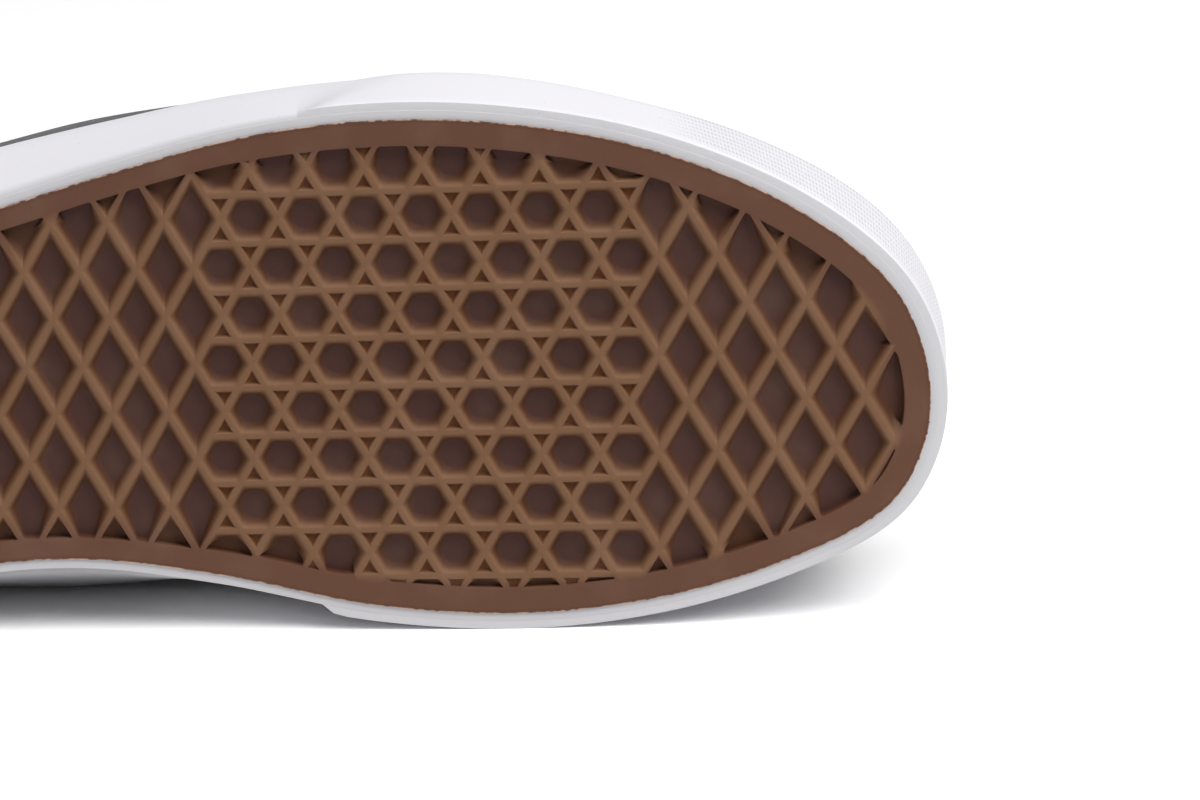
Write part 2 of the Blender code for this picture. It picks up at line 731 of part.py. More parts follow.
def make_tongue():
    """The tongue: under the eyestay and the vamp, and standing out beyond the top eyelets."""
    shares = (TONGUE_FOOT, (1 + TONGUE_FOOT) / 2, 1.0)
    arch_steps = 4
    depths = (UPPER_WALL + TONGUE_GAP, UPPER_WALL + TONGUE_GAP + TONGUE_THICKNESS)
    lines = []
    for station in reversed(stations_between(TONGUE_FIRST_STATION, TONGUE_LAST_STATION)):
        lines.append([tongue_line(station, depth, shares, arch_steps) for depth in depths])
    middle = len(lines[-1][0]) // 2
    way = (lines[-1][0][middle] - lines[-2][0][middle]).normalized()
    way = (way + Vector((0, 0, 0.35))).normalized()
    end_steps = len(lines[-1][0]) - 1
    tops = [tongue_line(TONGUE_FIRST_STATION, depth, (1.0,), end_steps) for depth in depths]
    centre = tops[0][end_steps // 2]
    for share, width in ((0.35, 0.87), (0.75, 0.95), (0.93, 0.90), (1.0, 0.78)):
        shift = way * TONGUE_TOP * share
        lines.append([[centre + (p - centre) * Vector((1, width, width)) + shift for p in top] for top in tops])
    return layer("tongue", [[[(o, o, i) for o, i in zip(outer, inner)] for outer, inner in lines]], "canvas")


def eyelet_stations():
    step = (EYELET_LAST - EYELET_FIRST) / (EYELET_ROWS - 1)
    return [EYELET_FIRST + step * k for k in range(EYELET_ROWS)]


def make_eyelets():
    """A rolled ring at each lace hole, on the eyestay."""
    sides = 9
    foot = GAP + OVERLAY_THICKNESS + EYELET_GAP
    middle = (EYELET_RADIUS + EYELET_HOLE) / 2
    profile = ((EYELET_HOLE, 0.0), (EYELET_RADIUS, 0.0), (middle, EYELET_THICKNESS))
    made = []
    for number, station in enumerate(eyelet_stations(), 1):
        for side, place in (("medial", station), ("lateral", LOOP - station)):
            share = share_from_top(place, EYELET_INSET)
            centre = skin_point(place, share) + skin_normal(place, share) * foot
            turn = skin_normal(place, share).to_track_quat("Z", "Y")
            points, faces = [], []
            for k in range(sides):
                angle = 2 * math.pi * k / sides
                for radius, height in profile:
                    spot = Vector((radius * math.cos(angle), radius * math.sin(angle), height))
                    points.append(centre + turn @ spot)
            size = len(profile)
            for k in range(sides):
                n = (k + 1) % sides
                for j in range(size):
                    m = (j + 1) % size
                    faces.append((k * size + j, n * size + j, n * size + m, k * size + m))
            made.append(new_piece(f"eyelet_{side}_{number}", points, faces, "eyelet"))
    return made


def strap(name, path, across, width, thickness, material):
    """A flat strap along a path, with a direction across it at each point."""
    points, faces = [], []
    for k, spot in enumerate(path):
        ahead = (path[min(k + 1, len(path) - 1)] - path[max(k - 1, 0)]).normalized()
        side = (across - ahead * across.dot(ahead)).normalized() * width / 2
        up = ahead.cross(side).normalized()
        up = up if up.z > 0 else -up
        for a, b in ((-1, 0), (-0.8, 1), (0.8, 1), (1, 0)):
            points.append(spot + side * a + up * thickness * b)
    size = 4
    for k in range(len(path) - 1):
        for j in range(size):
            m = (j + 1) % size
            faces.append((k * size + j, (k + 1) * size + j, (k + 1) * size + m, k * size + m))
    last = (len(path) - 1) * size
    faces += [tuple(range(size)), tuple(last + j for j in range(size))]
    return new_piece(name, points, faces, material)


def make_lace_bars():
    """A bar of lace for each pair of eyelets, over the tongue, from ring to ring."""
    height = GAP + OVERLAY_THICKNESS + LACE_GAP
    steps = 6
    made = []
    for number, station in enumerate(eyelet_stations(), 1):
        clear_of_ring = share_from_top(station, EYELET_INSET - EYELET_RADIUS - GAP)
        medial, lateral = throat_sides(station, height, (clear_of_ring, 1.0))
        tongue = tongue_line(station, UPPER_WALL + TONGUE_GAP, (1.0,), 2)[1].z
        rise = tongue + LACE_OVER_TONGUE - (medial[-1].z + lateral[0].z) / 2
        path = medial[:-1] + arch(medial[-1], lateral[0], rise, steps) + lateral[1:]
        ahead = top_point(station + 0.2) - top_point(station - 0.2)
        ahead.y = 0
        made.append(strap(f"lace_bar_{number}", path, ahead, LACE_WIDTH, LACE_THICKNESS, "lace"))
    return made


def volume_and_centre(pieces):
    """The volume of closed meshes, and its centre."""
    total, moment = 0.0, Vector((0, 0, 0))
    for piece in pieces:
        piece.data.calc_loop_triangles()
        spots = [v.co for v in piece.data.vertices]
        for tile in piece.data.loop_triangles:
            a, b, c = (spots[k] for k in tile.vertices)
            part = a.dot(b.cross(c)) / 6
            total += part
            moment += (a + b + c) * part / 4
    return total, moment / total


def lying_turn(pieces):
    """The turn and shift that lay the shoe on its medial side.

    The convex hull's facet under the centre of mass is what the shoe rests on.
    """
    centre = volume_and_centre(pieces)[1]
    hull = bmesh.new()
    for piece in pieces:
        for vertex in piece.data.vertices:
            hull.verts.new(vertex.co)
    made = bmesh.ops.convex_hull(hull, input=hull.verts, use_existing_faces=False)
    inside = list({e for e in made["geom_interior"] + made["geom_unused"] if isinstance(e, bmesh.types.BMVert)})
    bmesh.ops.delete(hull, geom=inside, context="VERTS")
    medial = Vector((0, 1, 0))
    best, down = -2.0, None
    for face in hull.faces:
        corners = [v.co.copy() for v in face.verts]
        normal = (corners[1] - corners[0]).cross(corners[2] - corners[0]).normalized()
        if normal.dot(corners[0] - centre) < 0:
            normal = -normal
        foot = centre + normal * normal.dot(corners[0] - centre)
        turns = [(b - a).cross(foot - a).dot(normal) for a, b in zip(corners, corners[1:] + corners[:1])]
        if (min(turns) > 0 or max(turns) < 0) and normal.dot(medial) > best:
            best, down = normal.dot(medial), normal
    hull.free()
    up = -down
    ahead = (Vector((1, 0, 0)) - up * up.x).normalized()
    turn = Matrix((ahead, up.cross(ahead), up))
    spots = np.array([turn @ v.co for piece in pieces for v in piece.data.vertices])
    low, high = spots.min(0), spots.max(0)
    shift = Vector((-(low[0] + high[0]) / 2, -(low[1] + high[1]) / 2, -low[2]))
    return Matrix.Translation(shift) @ turn.to_4x4()


def main():
    for old in list(bpy.data.objects):
        bpy.data.objects.remove(old)
    pieces = [
        make_outsole(),
        make_foxing(),
        make_toe_bumper(),
        make_insole(),
        make_upper(),
        make_toe_cap(),
        make_counter(),
        make_eyestay(),
        make_collar_pad(),
        make_tongue(),
    ]
    pieces += make_eyelets() + make_lace_bars()
    shoe = bpy.data.objects.new("shoe", None)
    bpy.context.scene.collection.objects.link(shoe)
    shoe.matrix_world = lying_turn(pieces)
    for piece in pieces:
        piece.parent = shoe
    bpy.context.view_layer.update()


main()
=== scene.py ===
"""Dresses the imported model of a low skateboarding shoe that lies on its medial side, sole upright.

Everything is worked out standing, with x from the heel to the toe, y to the medial side and z up from the ground,
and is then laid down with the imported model. All sizes are in metres.
"""

import json
import math
import random

import bmesh
import bpy
import numpy as np
from bpy.props import FloatProperty, FloatVectorProperty, PointerProperty
from mathutils import Matrix, Vector
from mathutils.geometry import delaunay_2d_cdt


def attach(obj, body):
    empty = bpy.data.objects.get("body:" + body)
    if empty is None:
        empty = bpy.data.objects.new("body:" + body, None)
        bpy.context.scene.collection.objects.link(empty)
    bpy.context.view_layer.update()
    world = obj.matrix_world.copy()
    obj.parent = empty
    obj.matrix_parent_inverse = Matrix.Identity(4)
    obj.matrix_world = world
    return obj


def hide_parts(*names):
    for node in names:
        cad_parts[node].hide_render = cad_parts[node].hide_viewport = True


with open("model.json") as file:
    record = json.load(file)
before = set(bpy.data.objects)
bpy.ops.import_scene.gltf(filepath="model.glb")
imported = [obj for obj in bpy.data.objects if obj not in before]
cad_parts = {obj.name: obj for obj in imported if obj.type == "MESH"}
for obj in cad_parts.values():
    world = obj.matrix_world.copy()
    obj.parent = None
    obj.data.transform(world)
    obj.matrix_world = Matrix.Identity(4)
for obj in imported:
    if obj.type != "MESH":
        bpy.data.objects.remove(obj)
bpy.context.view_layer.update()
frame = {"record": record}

bl_info = {
    "name": "Skateboarding Shoe",
    "version": (1, 0, 0),
    "blender": (4, 5, 0),
    "location": "3D View > Sidebar > Shoe",
    "description": "Builds the visible pieces of a low skateboarding shoe around its packed model",
    "category": "Object",
}

# The shoe's driving sizes
OUTSOLE_LENGTH = 0.2836
OUTSOLE_WIDTH = 0.100
COLLAR_HEIGHT = 0.082
TOE_SPRING = 0.005
SPRING_START = 0.76
OUTSOLE_THICKNESS = 0.005
HEEL_STACK = 0.0150
FOREFOOT_STACK = 0.0112
FOXING_THICKNESS = 0.0019
FOXING_HEEL_HEIGHT = 0.031
FOXING_TOE_HEIGHT = 0.027
FOXING_RECESS = 0.0004
RUBBER_EDGE = 0.00045  # radius of the rubber's upper edges
CRISP_EDGE = 0.4  # share of that radius along the lower edges
BUMPER_THICKNESS = 0.0013
BUMPER_DROP = 0.0030
BUMPER_SINK = 0.0003  # how far the strip's inner face sits in the foxing
INSOLE_THICKNESS = 0.004
TREAD_CENTRE = 0.669
CELL_PITCH = 0.0114
CELL_GROWTH = 0.0030
RIM_WIDTH = 0.0050
RIM_AT_WAIST = 0.80  # share of the rim's width at the waist and heel
RIM_INNER_BAND = 0.0004  # a line of points this far outside the rim's inner edge
RIM_STEEPNESS = 0.9  # how much steeper a pocket falls from the rim than from a rib
STAR_ZONE = (-4.1, 3.1)
UPPER_WALL = 0.0024
OVERLAY_THICKNESS = 0.0012
OVERLAY_SINK = 0.0001  # how far an overlay's inner face sits in the canvas
COLLAR_PAD = 0.0055
TONGUE_THICKNESS = 0.0045
TONGUE_TOP = 0.026
GAP = 0.0003
TUCK_GAP = 0.0006
TONGUE_GAP = 0.0009
EYELET_RADIUS = 0.0040
EYELET_HOLE = 0.0022
EYELET_ROWS = 6
EYELET_FIRST, EYELET_LAST = 6.2, 9.2
EYELET_INSET = 0.0085
EYESTAY_WIDTH = 0.0175
STITCH_INSETS = (0.0018, 0.0042)  # two rows of stitches, from a panel's edge
THROAT_STITCH_INSET = 0.0020
COLLAR_STITCH_INSET = 0.0060
THREAD_LIFT = 0.00012
SIDE_SEAM = (8.1, 8.28)
FACING_STEPS = 50
BINDING_THICKNESS, BINDING_LEGS = 0.0016, 0.0030
TONGUE_BINDING = 0.0017

# The sole's outline, drawn a little closer to the photograph than in the source, and the upper's top line:
# a row for each station from the heel to the toe
SOLE_COLUMNS = ("lateral_along", "lateral_across", "lateral_lean", "medial_along", "medial_across", "medial_lean")
SOLE_ROWS = (
    (0.000, -0.165, 0.03, 0.000, -0.165, 0.03),
    (0.015, -0.005, 0.01, 0.0135, -0.320, -0.01),
    (0.063, 0.133, -0.02, 0.059, -0.465, -0.05),
    (0.140, 0.202, -0.01, 0.140, -0.526, -0.07),
    (0.239, 0.243, 0.06, 0.232, -0.488, 0.10),
    (0.338, 0.307, 0.11, 0.317, -0.411, 0.37),
    (0.433, 0.387, 0.07, 0.408, -0.392, 0.45),
    (0.521, 0.453, 0.02, 0.507, -0.432, 0.26),
    (0.609, 0.484, 0.01, 0.613, -0.501, -0.01),
    (0.697, 0.477, 0.03, 0.715, -0.524, -0.08),
    (0.789, 0.431, 0.01, 0.810, -0.499, -0.07),
    (0.874, 0.340, 0.05, 0.896, -0.436, -0.06),
    (0.942, 0.218, 0.10, 0.966, -0.346, -0.04),
    (0.984, 0.085, 0.11, 0.996, -0.231, 0.00),
    (1.0025, -0.080, 0.10, 1.0025, -0.080, 0.10),
)
TOP_COLUMNS = ("along", "middle", "opening", "height", "rise", "reach", "dip")
TOP_ROWS = (
    (0.026, -0.165, 0.000, 1.000, 0.26, 0.20, 84),
    (0.038, -0.163, 0.190, 0.990, 0.26, 0.20, 84),
    (0.086, -0.158, 0.315, 0.950, 0.25, 0.19, 84),
    (0.154, -0.150, 0.365, 0.865, 0.23, 0.17, 84),
    (0.236, -0.130, 0.385, 0.810, 0.20, 0.16, 82),
    (0.316, -0.100, 0.345, 0.865, 0.23, 0.18, 72),
    (0.388, -0.070, 0.235, 1.060, 0.34, 0.25, 54),
    (0.465, -0.050, 0.172, 0.985, 0.32, 0.25, 41),
    (0.535, -0.040, 0.150, 0.875, 0.26, 0.26, 31),
    (0.598, -0.038, 0.125, 0.775, 0.21, 0.27, 20),
    (0.640, -0.038, 0.000, 0.722, 0.17, 0.27, 0),
    (0.719, -0.045, 0.000, 0.642, 0.145, 0.24, 0),
    (0.797, -0.058, 0.000, 0.590, 0.13, 0.20, 0),
    (0.859, -0.070, 0.000, 0.556, 0.12, 0.18, 0),
    (0.878, -0.075, 0.000, 0.546, 0.12, 0.17, 0),
)
TOE_STATION = len(SOLE_ROWS) - 1
LOOP = 2 * TOE_STATION
THROAT_STATION = 10
COLLAR_END_STATION = 5.0
WALL_LEAN_KEPT = 0.3  # the share of the foxing's lean that the upper keeps above it
WAIST_TUCK = 0.5  # how far the upper turns in over the waist, where the foxing leans out most
BUMPER_MEDIAL, BUMPER_LATERAL = 7.66, 20.5
KNURL_FOOT, KNURL_ZONE = 0.0012, (9.6, 10.6, 17.2, 18.2)
KNURL_SLANT = 0.27  # a diamond's width as a share of its height
WAIST_ZONE = (3.6, 4.6, 6.2, 7.2)
OVERLAY_FOOT = 0.035
TOE_CAP_SIDE, TOE_CAP_RIDGE = 0.825, 0.775
COUNTER_STATION = 3.6
COUNTER_TOP, COUNTER_END = 0.74, 0.14
EYESTAY_FIRST_STATION = 5.75
PAD_FOOT = 0.40
TONGUE_FOOT = 0.74
TONGUE_FIRST_STATION, TONGUE_LAST_STATION = 6.0, 10.5
TONGUE_CROWN = 0.36
LACE_OVER_TONGUE = 0.0006
# How a lace leaves its eyelet: the way gone from the hole and the height over the eyestay
LACE_STOPS = ((0.0, -0.0012), (0.0014, 0.0009), (0.0034, 0.0021), (0.0056, 0.0012), (0.0085, 0.0009))
# The tongue's free end: how far along it and the share of its width there
TONGUE_END = (
    (0.10, 0.93), (0.22, 0.89), (0.35, 0.87), (0.48, 0.89), (0.62, 0.92),
    (0.75, 0.95), (0.85, 0.94), (0.93, 0.90), (0.98, 0.83), (1.0, 0.76),
)
# Folds of the vamp: share of the outsole's length, depth and lean
VAMP_FOLDS = ((0.716, 0.0006, 0.020), (0.741, 0.0008, -0.012), (0.763, 0.0005, 0.016))
VAMP_FOLD_WIDTH = 0.0075

# How a tread pocket falls from its mouth to its floor: run inwards, depth and corner radius, for a full pocket
POCKET_DEPTH = 0.0024
POCKET_RINGS = (
    (-0.00028, 0.0000, 0.00030),
    (-0.00006, 0.00006, 0.00040),
    (0.00018, 0.00030, 0.00055),
    (0.00050, 0.00085, 0.00070),
    (0.00088, 0.00155, 0.00090),
    (0.00118, 0.00208, 0.00110),
    (0.00150, 0.00234, 0.00140),
    (0.00190, 0.00240, 0.00160),
)
FULL_ROOM = 0.0030  # a pocket narrower than this is shallower and its walls are steeper
NOOK_SHALLOWING, POCKET_SHALLOWING = 0.9, 0.45  # powers of a narrow pocket's share of the full room
SMALLEST_POCKET = 0.0004
SHORTEST_SIDE = 0.00025
NEAR_RIM = 0.0006  # a point of a pocket's mouth that is nearer to the rim than this lies on it
FLOOR_MIDDLE = 0.45  # size of the flat patch that closes a pocket's floor

# The photograph's camera, in the standing frame
CAMERA_TARGET = (0.218543, 0.008766, 0.0)
CAMERA_DISTANCE = 1.25
CAMERA_RAISED, CAMERA_TURNED, CAMERA_ROLL = 16.0, -3.0, -0.3326  # degrees
CAMERA_LENS, CAMERA_SENSOR = 190.45, 36.0  # millimetres
BALL_MOUNT = 0.19543  # how far along the shoe the tread's first mount lies

# The soft lights: where each stands and what it points at
LIGHTS = {
    "key": ((1.10, -0.80, 1.9), (0.05, 0.10, 0.0)),
    "left": ((-0.9, -0.60, 1.9), (0.05, 0.10, 0.0)),
    "fill": ((0.05, -2.4, 0.9), (0.05, 0.0, 0.05)),
}
LIGHT_SIZE, LIGHT_SPREAD = 2.0, 80.0  # metres, degrees
FLOOR_RADIUS = 6.0


def through(a, b, c, d, part):
    """A place between b and c on a smooth curve through four places."""
    return b + 0.5 * part * (c - a + part * (2 * a - 5 * b + 4 * c - d + part * (3 * (b - c) + d - a)))


def bezier(a, b, c, d, share):
    rest = 1 - share
    return a * rest**3 + b * 3 * share * rest**2 + c * 3 * share**2 * rest + d * share**3


def around(values, station):
    """A smooth closed curve through one value for each station, read at any station."""
    whole = math.floor(station)
    return through(*(values[(whole + k) % len(values)] for k in (-1, 0, 1, 2)), station - whole)


def once_around(rows, columns, medial, lateral):
    """One column read up the medial side and another back down the lateral side."""
    up, down = ([row[columns.index(name)] for row in rows] for name in (medial, lateral))
    return up + down[-2:0:-1]


SOLE = {}
for line in ("along", "across", "lean"):
    SOLE[line] = once_around(SOLE_ROWS, SOLE_COLUMNS, "medial_" + line, "lateral_" + line)
TOP = {line: once_around(TOP_ROWS, TOP_COLUMNS, line, line) for line in TOP_COLUMNS}


def between(start, end, share):
    return start + (end - start) * share


def smooth_share(value, start, end):
    share = min(1.0, max(0.0, (value - start) / (end - start)))
    return share * share * (3 - 2 * share)


def swell(value, start, full, ebb, end):
    """0 before start, 1 from full to ebb and 0 after end, smoothly."""
    return smooth_share(value, start, full) * (1 - smooth_share(value, ebb, end))


def toe_lift(x):
    start = SPRING_START * OUTSOLE_LENGTH
    share = max(0.0, x - start) / (OUTSOLE_LENGTH - start)
    return TOE_SPRING * share * share


def heel_to_forefoot(x, at_heel, at_forefoot):
    return between(at_heel, at_forefoot, smooth_share(x, 0.25 * OUTSOLE_LENGTH, 0.62 * OUTSOLE_LENGTH))


def outline(station):
    """The inner face of the foxing at the ground, and its outward direction."""
    x = around(SOLE["along"], station) * OUTSOLE_LENGTH
    y = -around(SOLE["across"], station) * OUTSOLE_WIDTH
    step = 0.02
    ahead = around(SOLE["along"], station + step) - around(SOLE["along"], station - step)
    aside = around(SOLE["across"], station - step) - around(SOLE["across"], station + step)
    outward = Vector((-aside * OUTSOLE_WIDTH, ahead * OUTSOLE_LENGTH)).normalized()
    return Vector((x, y)), outward


def wall_point(station, height, out):
    """A point of the sole's wall at a height above the ground, moved outwards."""
    place, outward = outline(station)
    place = place + outward * (around(SOLE["lean"], station) * height + out)
    return Vector((place.x, place.y, height + toe_lift(place.x)))


def foxing_height(station):
    return heel_to_forefoot(outline(station)[0].x, FOXING_HEEL_HEIGHT, FOXING_TOE_HEIGHT)


def plate_height(station):
    return heel_to_forefoot(outline(station)[0].x, HEEL_STACK, FOREFOOT_STACK)


def from_heel(station):
    return min(station % LOOP, LOOP - station % LOOP)


def opening(station):
    """Half the gap between the two top edges."""
    if from_heel(station) >= THROAT_STATION:
        return 0.0
    return max(0.0, around(TOP["opening"], station)) * OUTSOLE_WIDTH


def top_point(station):
    """A point of the collar, the throat's edge or the vamp's ridge."""
    x = around(TOP["along"], station) * OUTSOLE_LENGTH
    side = 1 if station % LOOP <= TOE_STATION else -1
    y = side * opening(station) - around(TOP["middle"], station) * OUTSOLE_WIDTH
    return Vector((x, y, around(TOP["height"], station) * COLLAR_HEIGHT + toe_lift(x)))


def ridge_slope(station):
    place = from_heel(station)
    if place < THROAT_STATION - 0.5:
        return 0.0
    here, behind = top_point(place), top_point(place - 0.4)
    return (here.z - behind.z) / (here.x - behind.x)


def section_curve(station):
    """The four points of the Bezier curve that the upper follows from the foxing to its top edge."""
    foot = wall_point(station, foxing_height(station), -TUCK_GAP)
    outward = outline(station)[1]
    lean = around(SOLE["lean"], station)
    lean *= between(WALL_LEAN_KEPT, -WAIST_TUCK, smooth_share(lean, 0.10, 0.30))
    up = Vector((outward.x * lean, outward.y * lean, 1.0)).normalized()
    top = top_point(station)
    dip = math.radians(max(0.0, around(TOP["dip"], station)))
    flat = math.cos(dip)
    pull = Vector((outward.x * flat, outward.y * flat, outward.x * flat * ridge_slope(station) - math.sin(dip)))
    rise = around(TOP["rise"], station) * COLLAR_HEIGHT
    reach = around(TOP["reach"], station) * OUTSOLE_WIDTH
    return foot, foot + up * rise, top + pull * reach, top


def skin_point(station, share):
    """The upper's outer face: 0 is the foxing's top edge, 1 the top line, -1 the midsole plate."""
    if share < 0:
        low = plate_height(station) + GAP
        return wall_point(station, between(foxing_height(station), low, -share), -TUCK_GAP)
    return bezier(*section_curve(station), share)


def one_side_normal(station, share):
    step = 0.03
    low, high = max(-1.0, share - step), min(1.0, share + step)
    up = skin_point(station, high) - skin_point(station, low)
    near, far = station - step, station + step
    if share >= 1.0 and opening(near) == 0.0 and opening(far) > 0.0:
        far = station
    elif share >= 1.0 and opening(far) == 0.0 and opening(near) > 0.0:
        near = station
    along = skin_point(far, share) - skin_point(near, share)
    return up.cross(along).normalized()


def skin_normal(station, share):
    """The direction out of the skin. On the vamp's ridge it is the mean of both sides."""
    found = one_side_normal(station, share)
    if share >= 1.0 and opening(station) == 0.0:
        found = (found + one_side_normal(LOOP - station, share)).normalized()
    return found


def over_skin(station, share, height):
    return skin_point(station, share) + skin_normal(station, share) * height


def share_from_top(station, distance):
    """The share of the skin that lies a distance down from the top line."""
    steps = 40
    gone, before = 0.0, skin_point(station, 1.0)
    for k in range(1, steps + 1):
        here = skin_point(station, 1 - k / steps)
        piece = (here - before).length
        if gone + piece >= distance:
            return 1 - (k - 1 + (distance - gone) / piece) / steps
        gone, before = gone + piece, here
    return 0.0


def share_away_from(station, place, distance):
    steps = 90
    for k in range(steps + 1):
        if (skin_point(station, 1 - k / steps) - place).length > distance:
            return 1 - k / steps
    return 0.0


def station_at(share, x, low, high):
    """The station between two others where the skin passes x."""
    for _ in range(30):
        middle = (low + high) / 2
        if (skin_point(middle, share).x < x) == (low < TOE_STATION):
            low = middle
        else:
            high = middle
    return (low + high) / 2


def spread(first, last, steps):
    return [between(first, last, k / steps) for k in range(steps + 1)]


def loop_stations(steps):
    """Stations once around the shoe, with some steps from each whole one to the next, and both ends."""
    return [k / steps for k in range(LOOP * steps + 1)]


def heading(path, k):
    """The direction of a path at one of its points."""
    return (path[min(k + 1, len(path) - 1)] - path[max(k - 1, 0)]).normalized()


def standing_frame():
    """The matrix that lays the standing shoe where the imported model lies."""
    mounts = {m["name"]: m for m in frame["record"]["mounts"]}
    ball, heel = (Vector(mounts[name]["pos_m"]) for name in ("tread_ball", "tread_heel"))
    ahead = (ball - heel).normalized()
    aside = (-Vector(mounts["tread_ball"]["axis"])).cross(ahead).normalized()
    turn = Matrix((ahead, aside, ahead.cross(aside))).transposed()
    return Matrix.Translation(ball - ahead * BALL_MOUNT) @ turn.to_4x4()


LAID = standing_frame()


def length(name, description, default):
    return FloatProperty(name=name, description=description, default=default, unit="LENGTH")


def power(name, description, default):
    return FloatProperty(name=name, description=description, default=default, unit="POWER")


def colour(name, description, default):
    return FloatVectorProperty(
        name=name, description=description, default=default, size=3, min=0, max=1, subtype="COLOR"
    )


class ShoeSizes(bpy.types.PropertyGroup):
    """Sizes of the shoe's finish that a maker would change, and the studio's light."""

    rib_width: length("Rib Width", "Width of a tread rib", 0.00120)
    knurl_pitch: length("Knurl Pitch", "Spacing of the toe strip's fine diamonds", 0.00078)
    stitch_length: length("Stitch Length", "Length of one stitch", 0.0026)
    stitch_gap: length("Stitch Gap", "Gap between two stitches", 0.0007)
    thread_width: length("Thread Width", "Width of the sewing thread", 0.00075)
    lace_width: length("Lace Width", "Width of the flat lace", 0.0078)
    lace_thickness: length("Lace Thickness", "Thickness of the flat lace", 0.0015)
    thread_pitch: length("Canvas Thread Pitch", "Spacing of the canvas threads", 0.0010)
    key_power: power("Key Light", "Power of the light above", 18.4)
    left_power: power("Left Light", "Power of the light on the left", 5.0)
    fill_power: power("Fill Light", "Power of the light in front", 0.3)
    sky_strength: FloatProperty(name="Sky Strength", description="Brightness of the room", default=0.10)


class ShoeColours(bpy.types.PropertyGroup):
    """Colours of the shoe's materials and of the shade and highlights painted on the tread and rubber, in linear
    light.
    """

    gum: colour("Gum", "Gum rubber on the rim and ribs", (0.099, 0.0425, 0.0230))
    # Painted shade on the pocket floors, darker and redder than the gum
    gum_floor_shade: colour("Gum Floor", "Gum rubber on the pocket floors", (0.064, 0.0245, 0.018))
    # Painted shade down the pocket walls; also the tone the rim darkens to at its outer edge
    gum_wall_shade: colour("Gum Wall", "Gum rubber low on the pocket walls", (0.066, 0.022, 0.008))
    # Painted highlight on the crowns of the ribs
    gum_rib_highlight: colour("Gum Rib", "Gum rubber on the crowns of the ribs", (0.147, 0.072, 0.035))
    # Painted shade, in a warmer tone, in the small three-cornered pits
    gum_nook_shade: colour("Gum Nook", "Gum rubber in the small three-cornered pockets", (0.098, 0.030, 0.005))
    gum_trim: colour("Gum Trim", "Trimmed edge of the gum rubber", (0.48, 0.32, 0.24))
    rubber: colour("White Rubber", "Foxing and toe strip", (0.690, 0.680, 0.710))
    # Painted shade on the lower edges of the foxing and toe strip
    rubber_underside_shade: colour("Rubber Underside", "Cut lower edges of the foxing and strip", (0.440, 0.434, 0.448))
    canvas: colour("Canvas", "Canvas of the upper and tongue", (0.016, 0.016, 0.019))
    suede: colour("Suede", "Suede of the overlays", (0.012, 0.012, 0.014))
    lining: colour("Lining", "Padded collar lining", (0.030, 0.030, 0.034))
    lace: colour("Lace", "Cotton lace", (0.74, 0.72, 0.69))
    thread: colour("Thread", "Sewing thread", (0.060, 0.060, 0.066))
    metal: colour("Eyelet Metal", "Dark metal of the eyelets", (0.085, 0.085, 0.090))
    insole: colour("Insole", "Cloth of the footbed", (0.090, 0.092, 0.105))
    floor: colour("Floor", "Studio floor", (0.92, 0.92, 0.925))


def arithmetic(operation, turned=False):
    """A method that adds a Math node. Turned, its operands change places."""

    def method(self, other):
        return self.graph.maths(operation, *((other, self) if turned else (self, other)))

    return method


class Value:
    """A number socket of a node. Arithmetic on it adds Math nodes."""

    def __init__(self, graph, socket):
        self.graph, self.socket = graph, socket

    __add__ = __radd__ = arithmetic("ADD")
    __mul__ = __rmul__ = arithmetic("MULTIPLY")
    __sub__, __rsub__ = arithmetic("SUBTRACT"), arithmetic("SUBTRACT", turned=True)
    __truediv__ = arithmetic("DIVIDE")


class Graph:
    """A node tree being made."""

    prefix = "ShaderNode"

    def __init__(self, tree):
        self.tree = tree

    def node(self, kind, settings=None, inputs=None, output=0):
        """One node: its settings first, then the numbers or links of its sockets. Gives one of its outputs."""
        made = self.tree.nodes.new(kind if "Node" in kind else self.prefix + kind)
        for key, value in (settings or {}).items():
            setattr(made, key, value)
        for key, value in (inputs or {}).items():
            self.feed(made.inputs[key], value)
        return Value(self, made.outputs[output]) if made.outputs else None

    def feed(self, socket, value):
        if isinstance(value, Value):
            self.tree.links.new(value.socket, socket)
        elif socket.type == "RGBA" and len(value) == 3:
            socket.default_value = (*value, 1)
        else:
            socket.default_value = value

    def maths(self, operation, *values):
        return self.node("ShaderNodeMath", {"operation": operation}, dict(enumerate(values)))


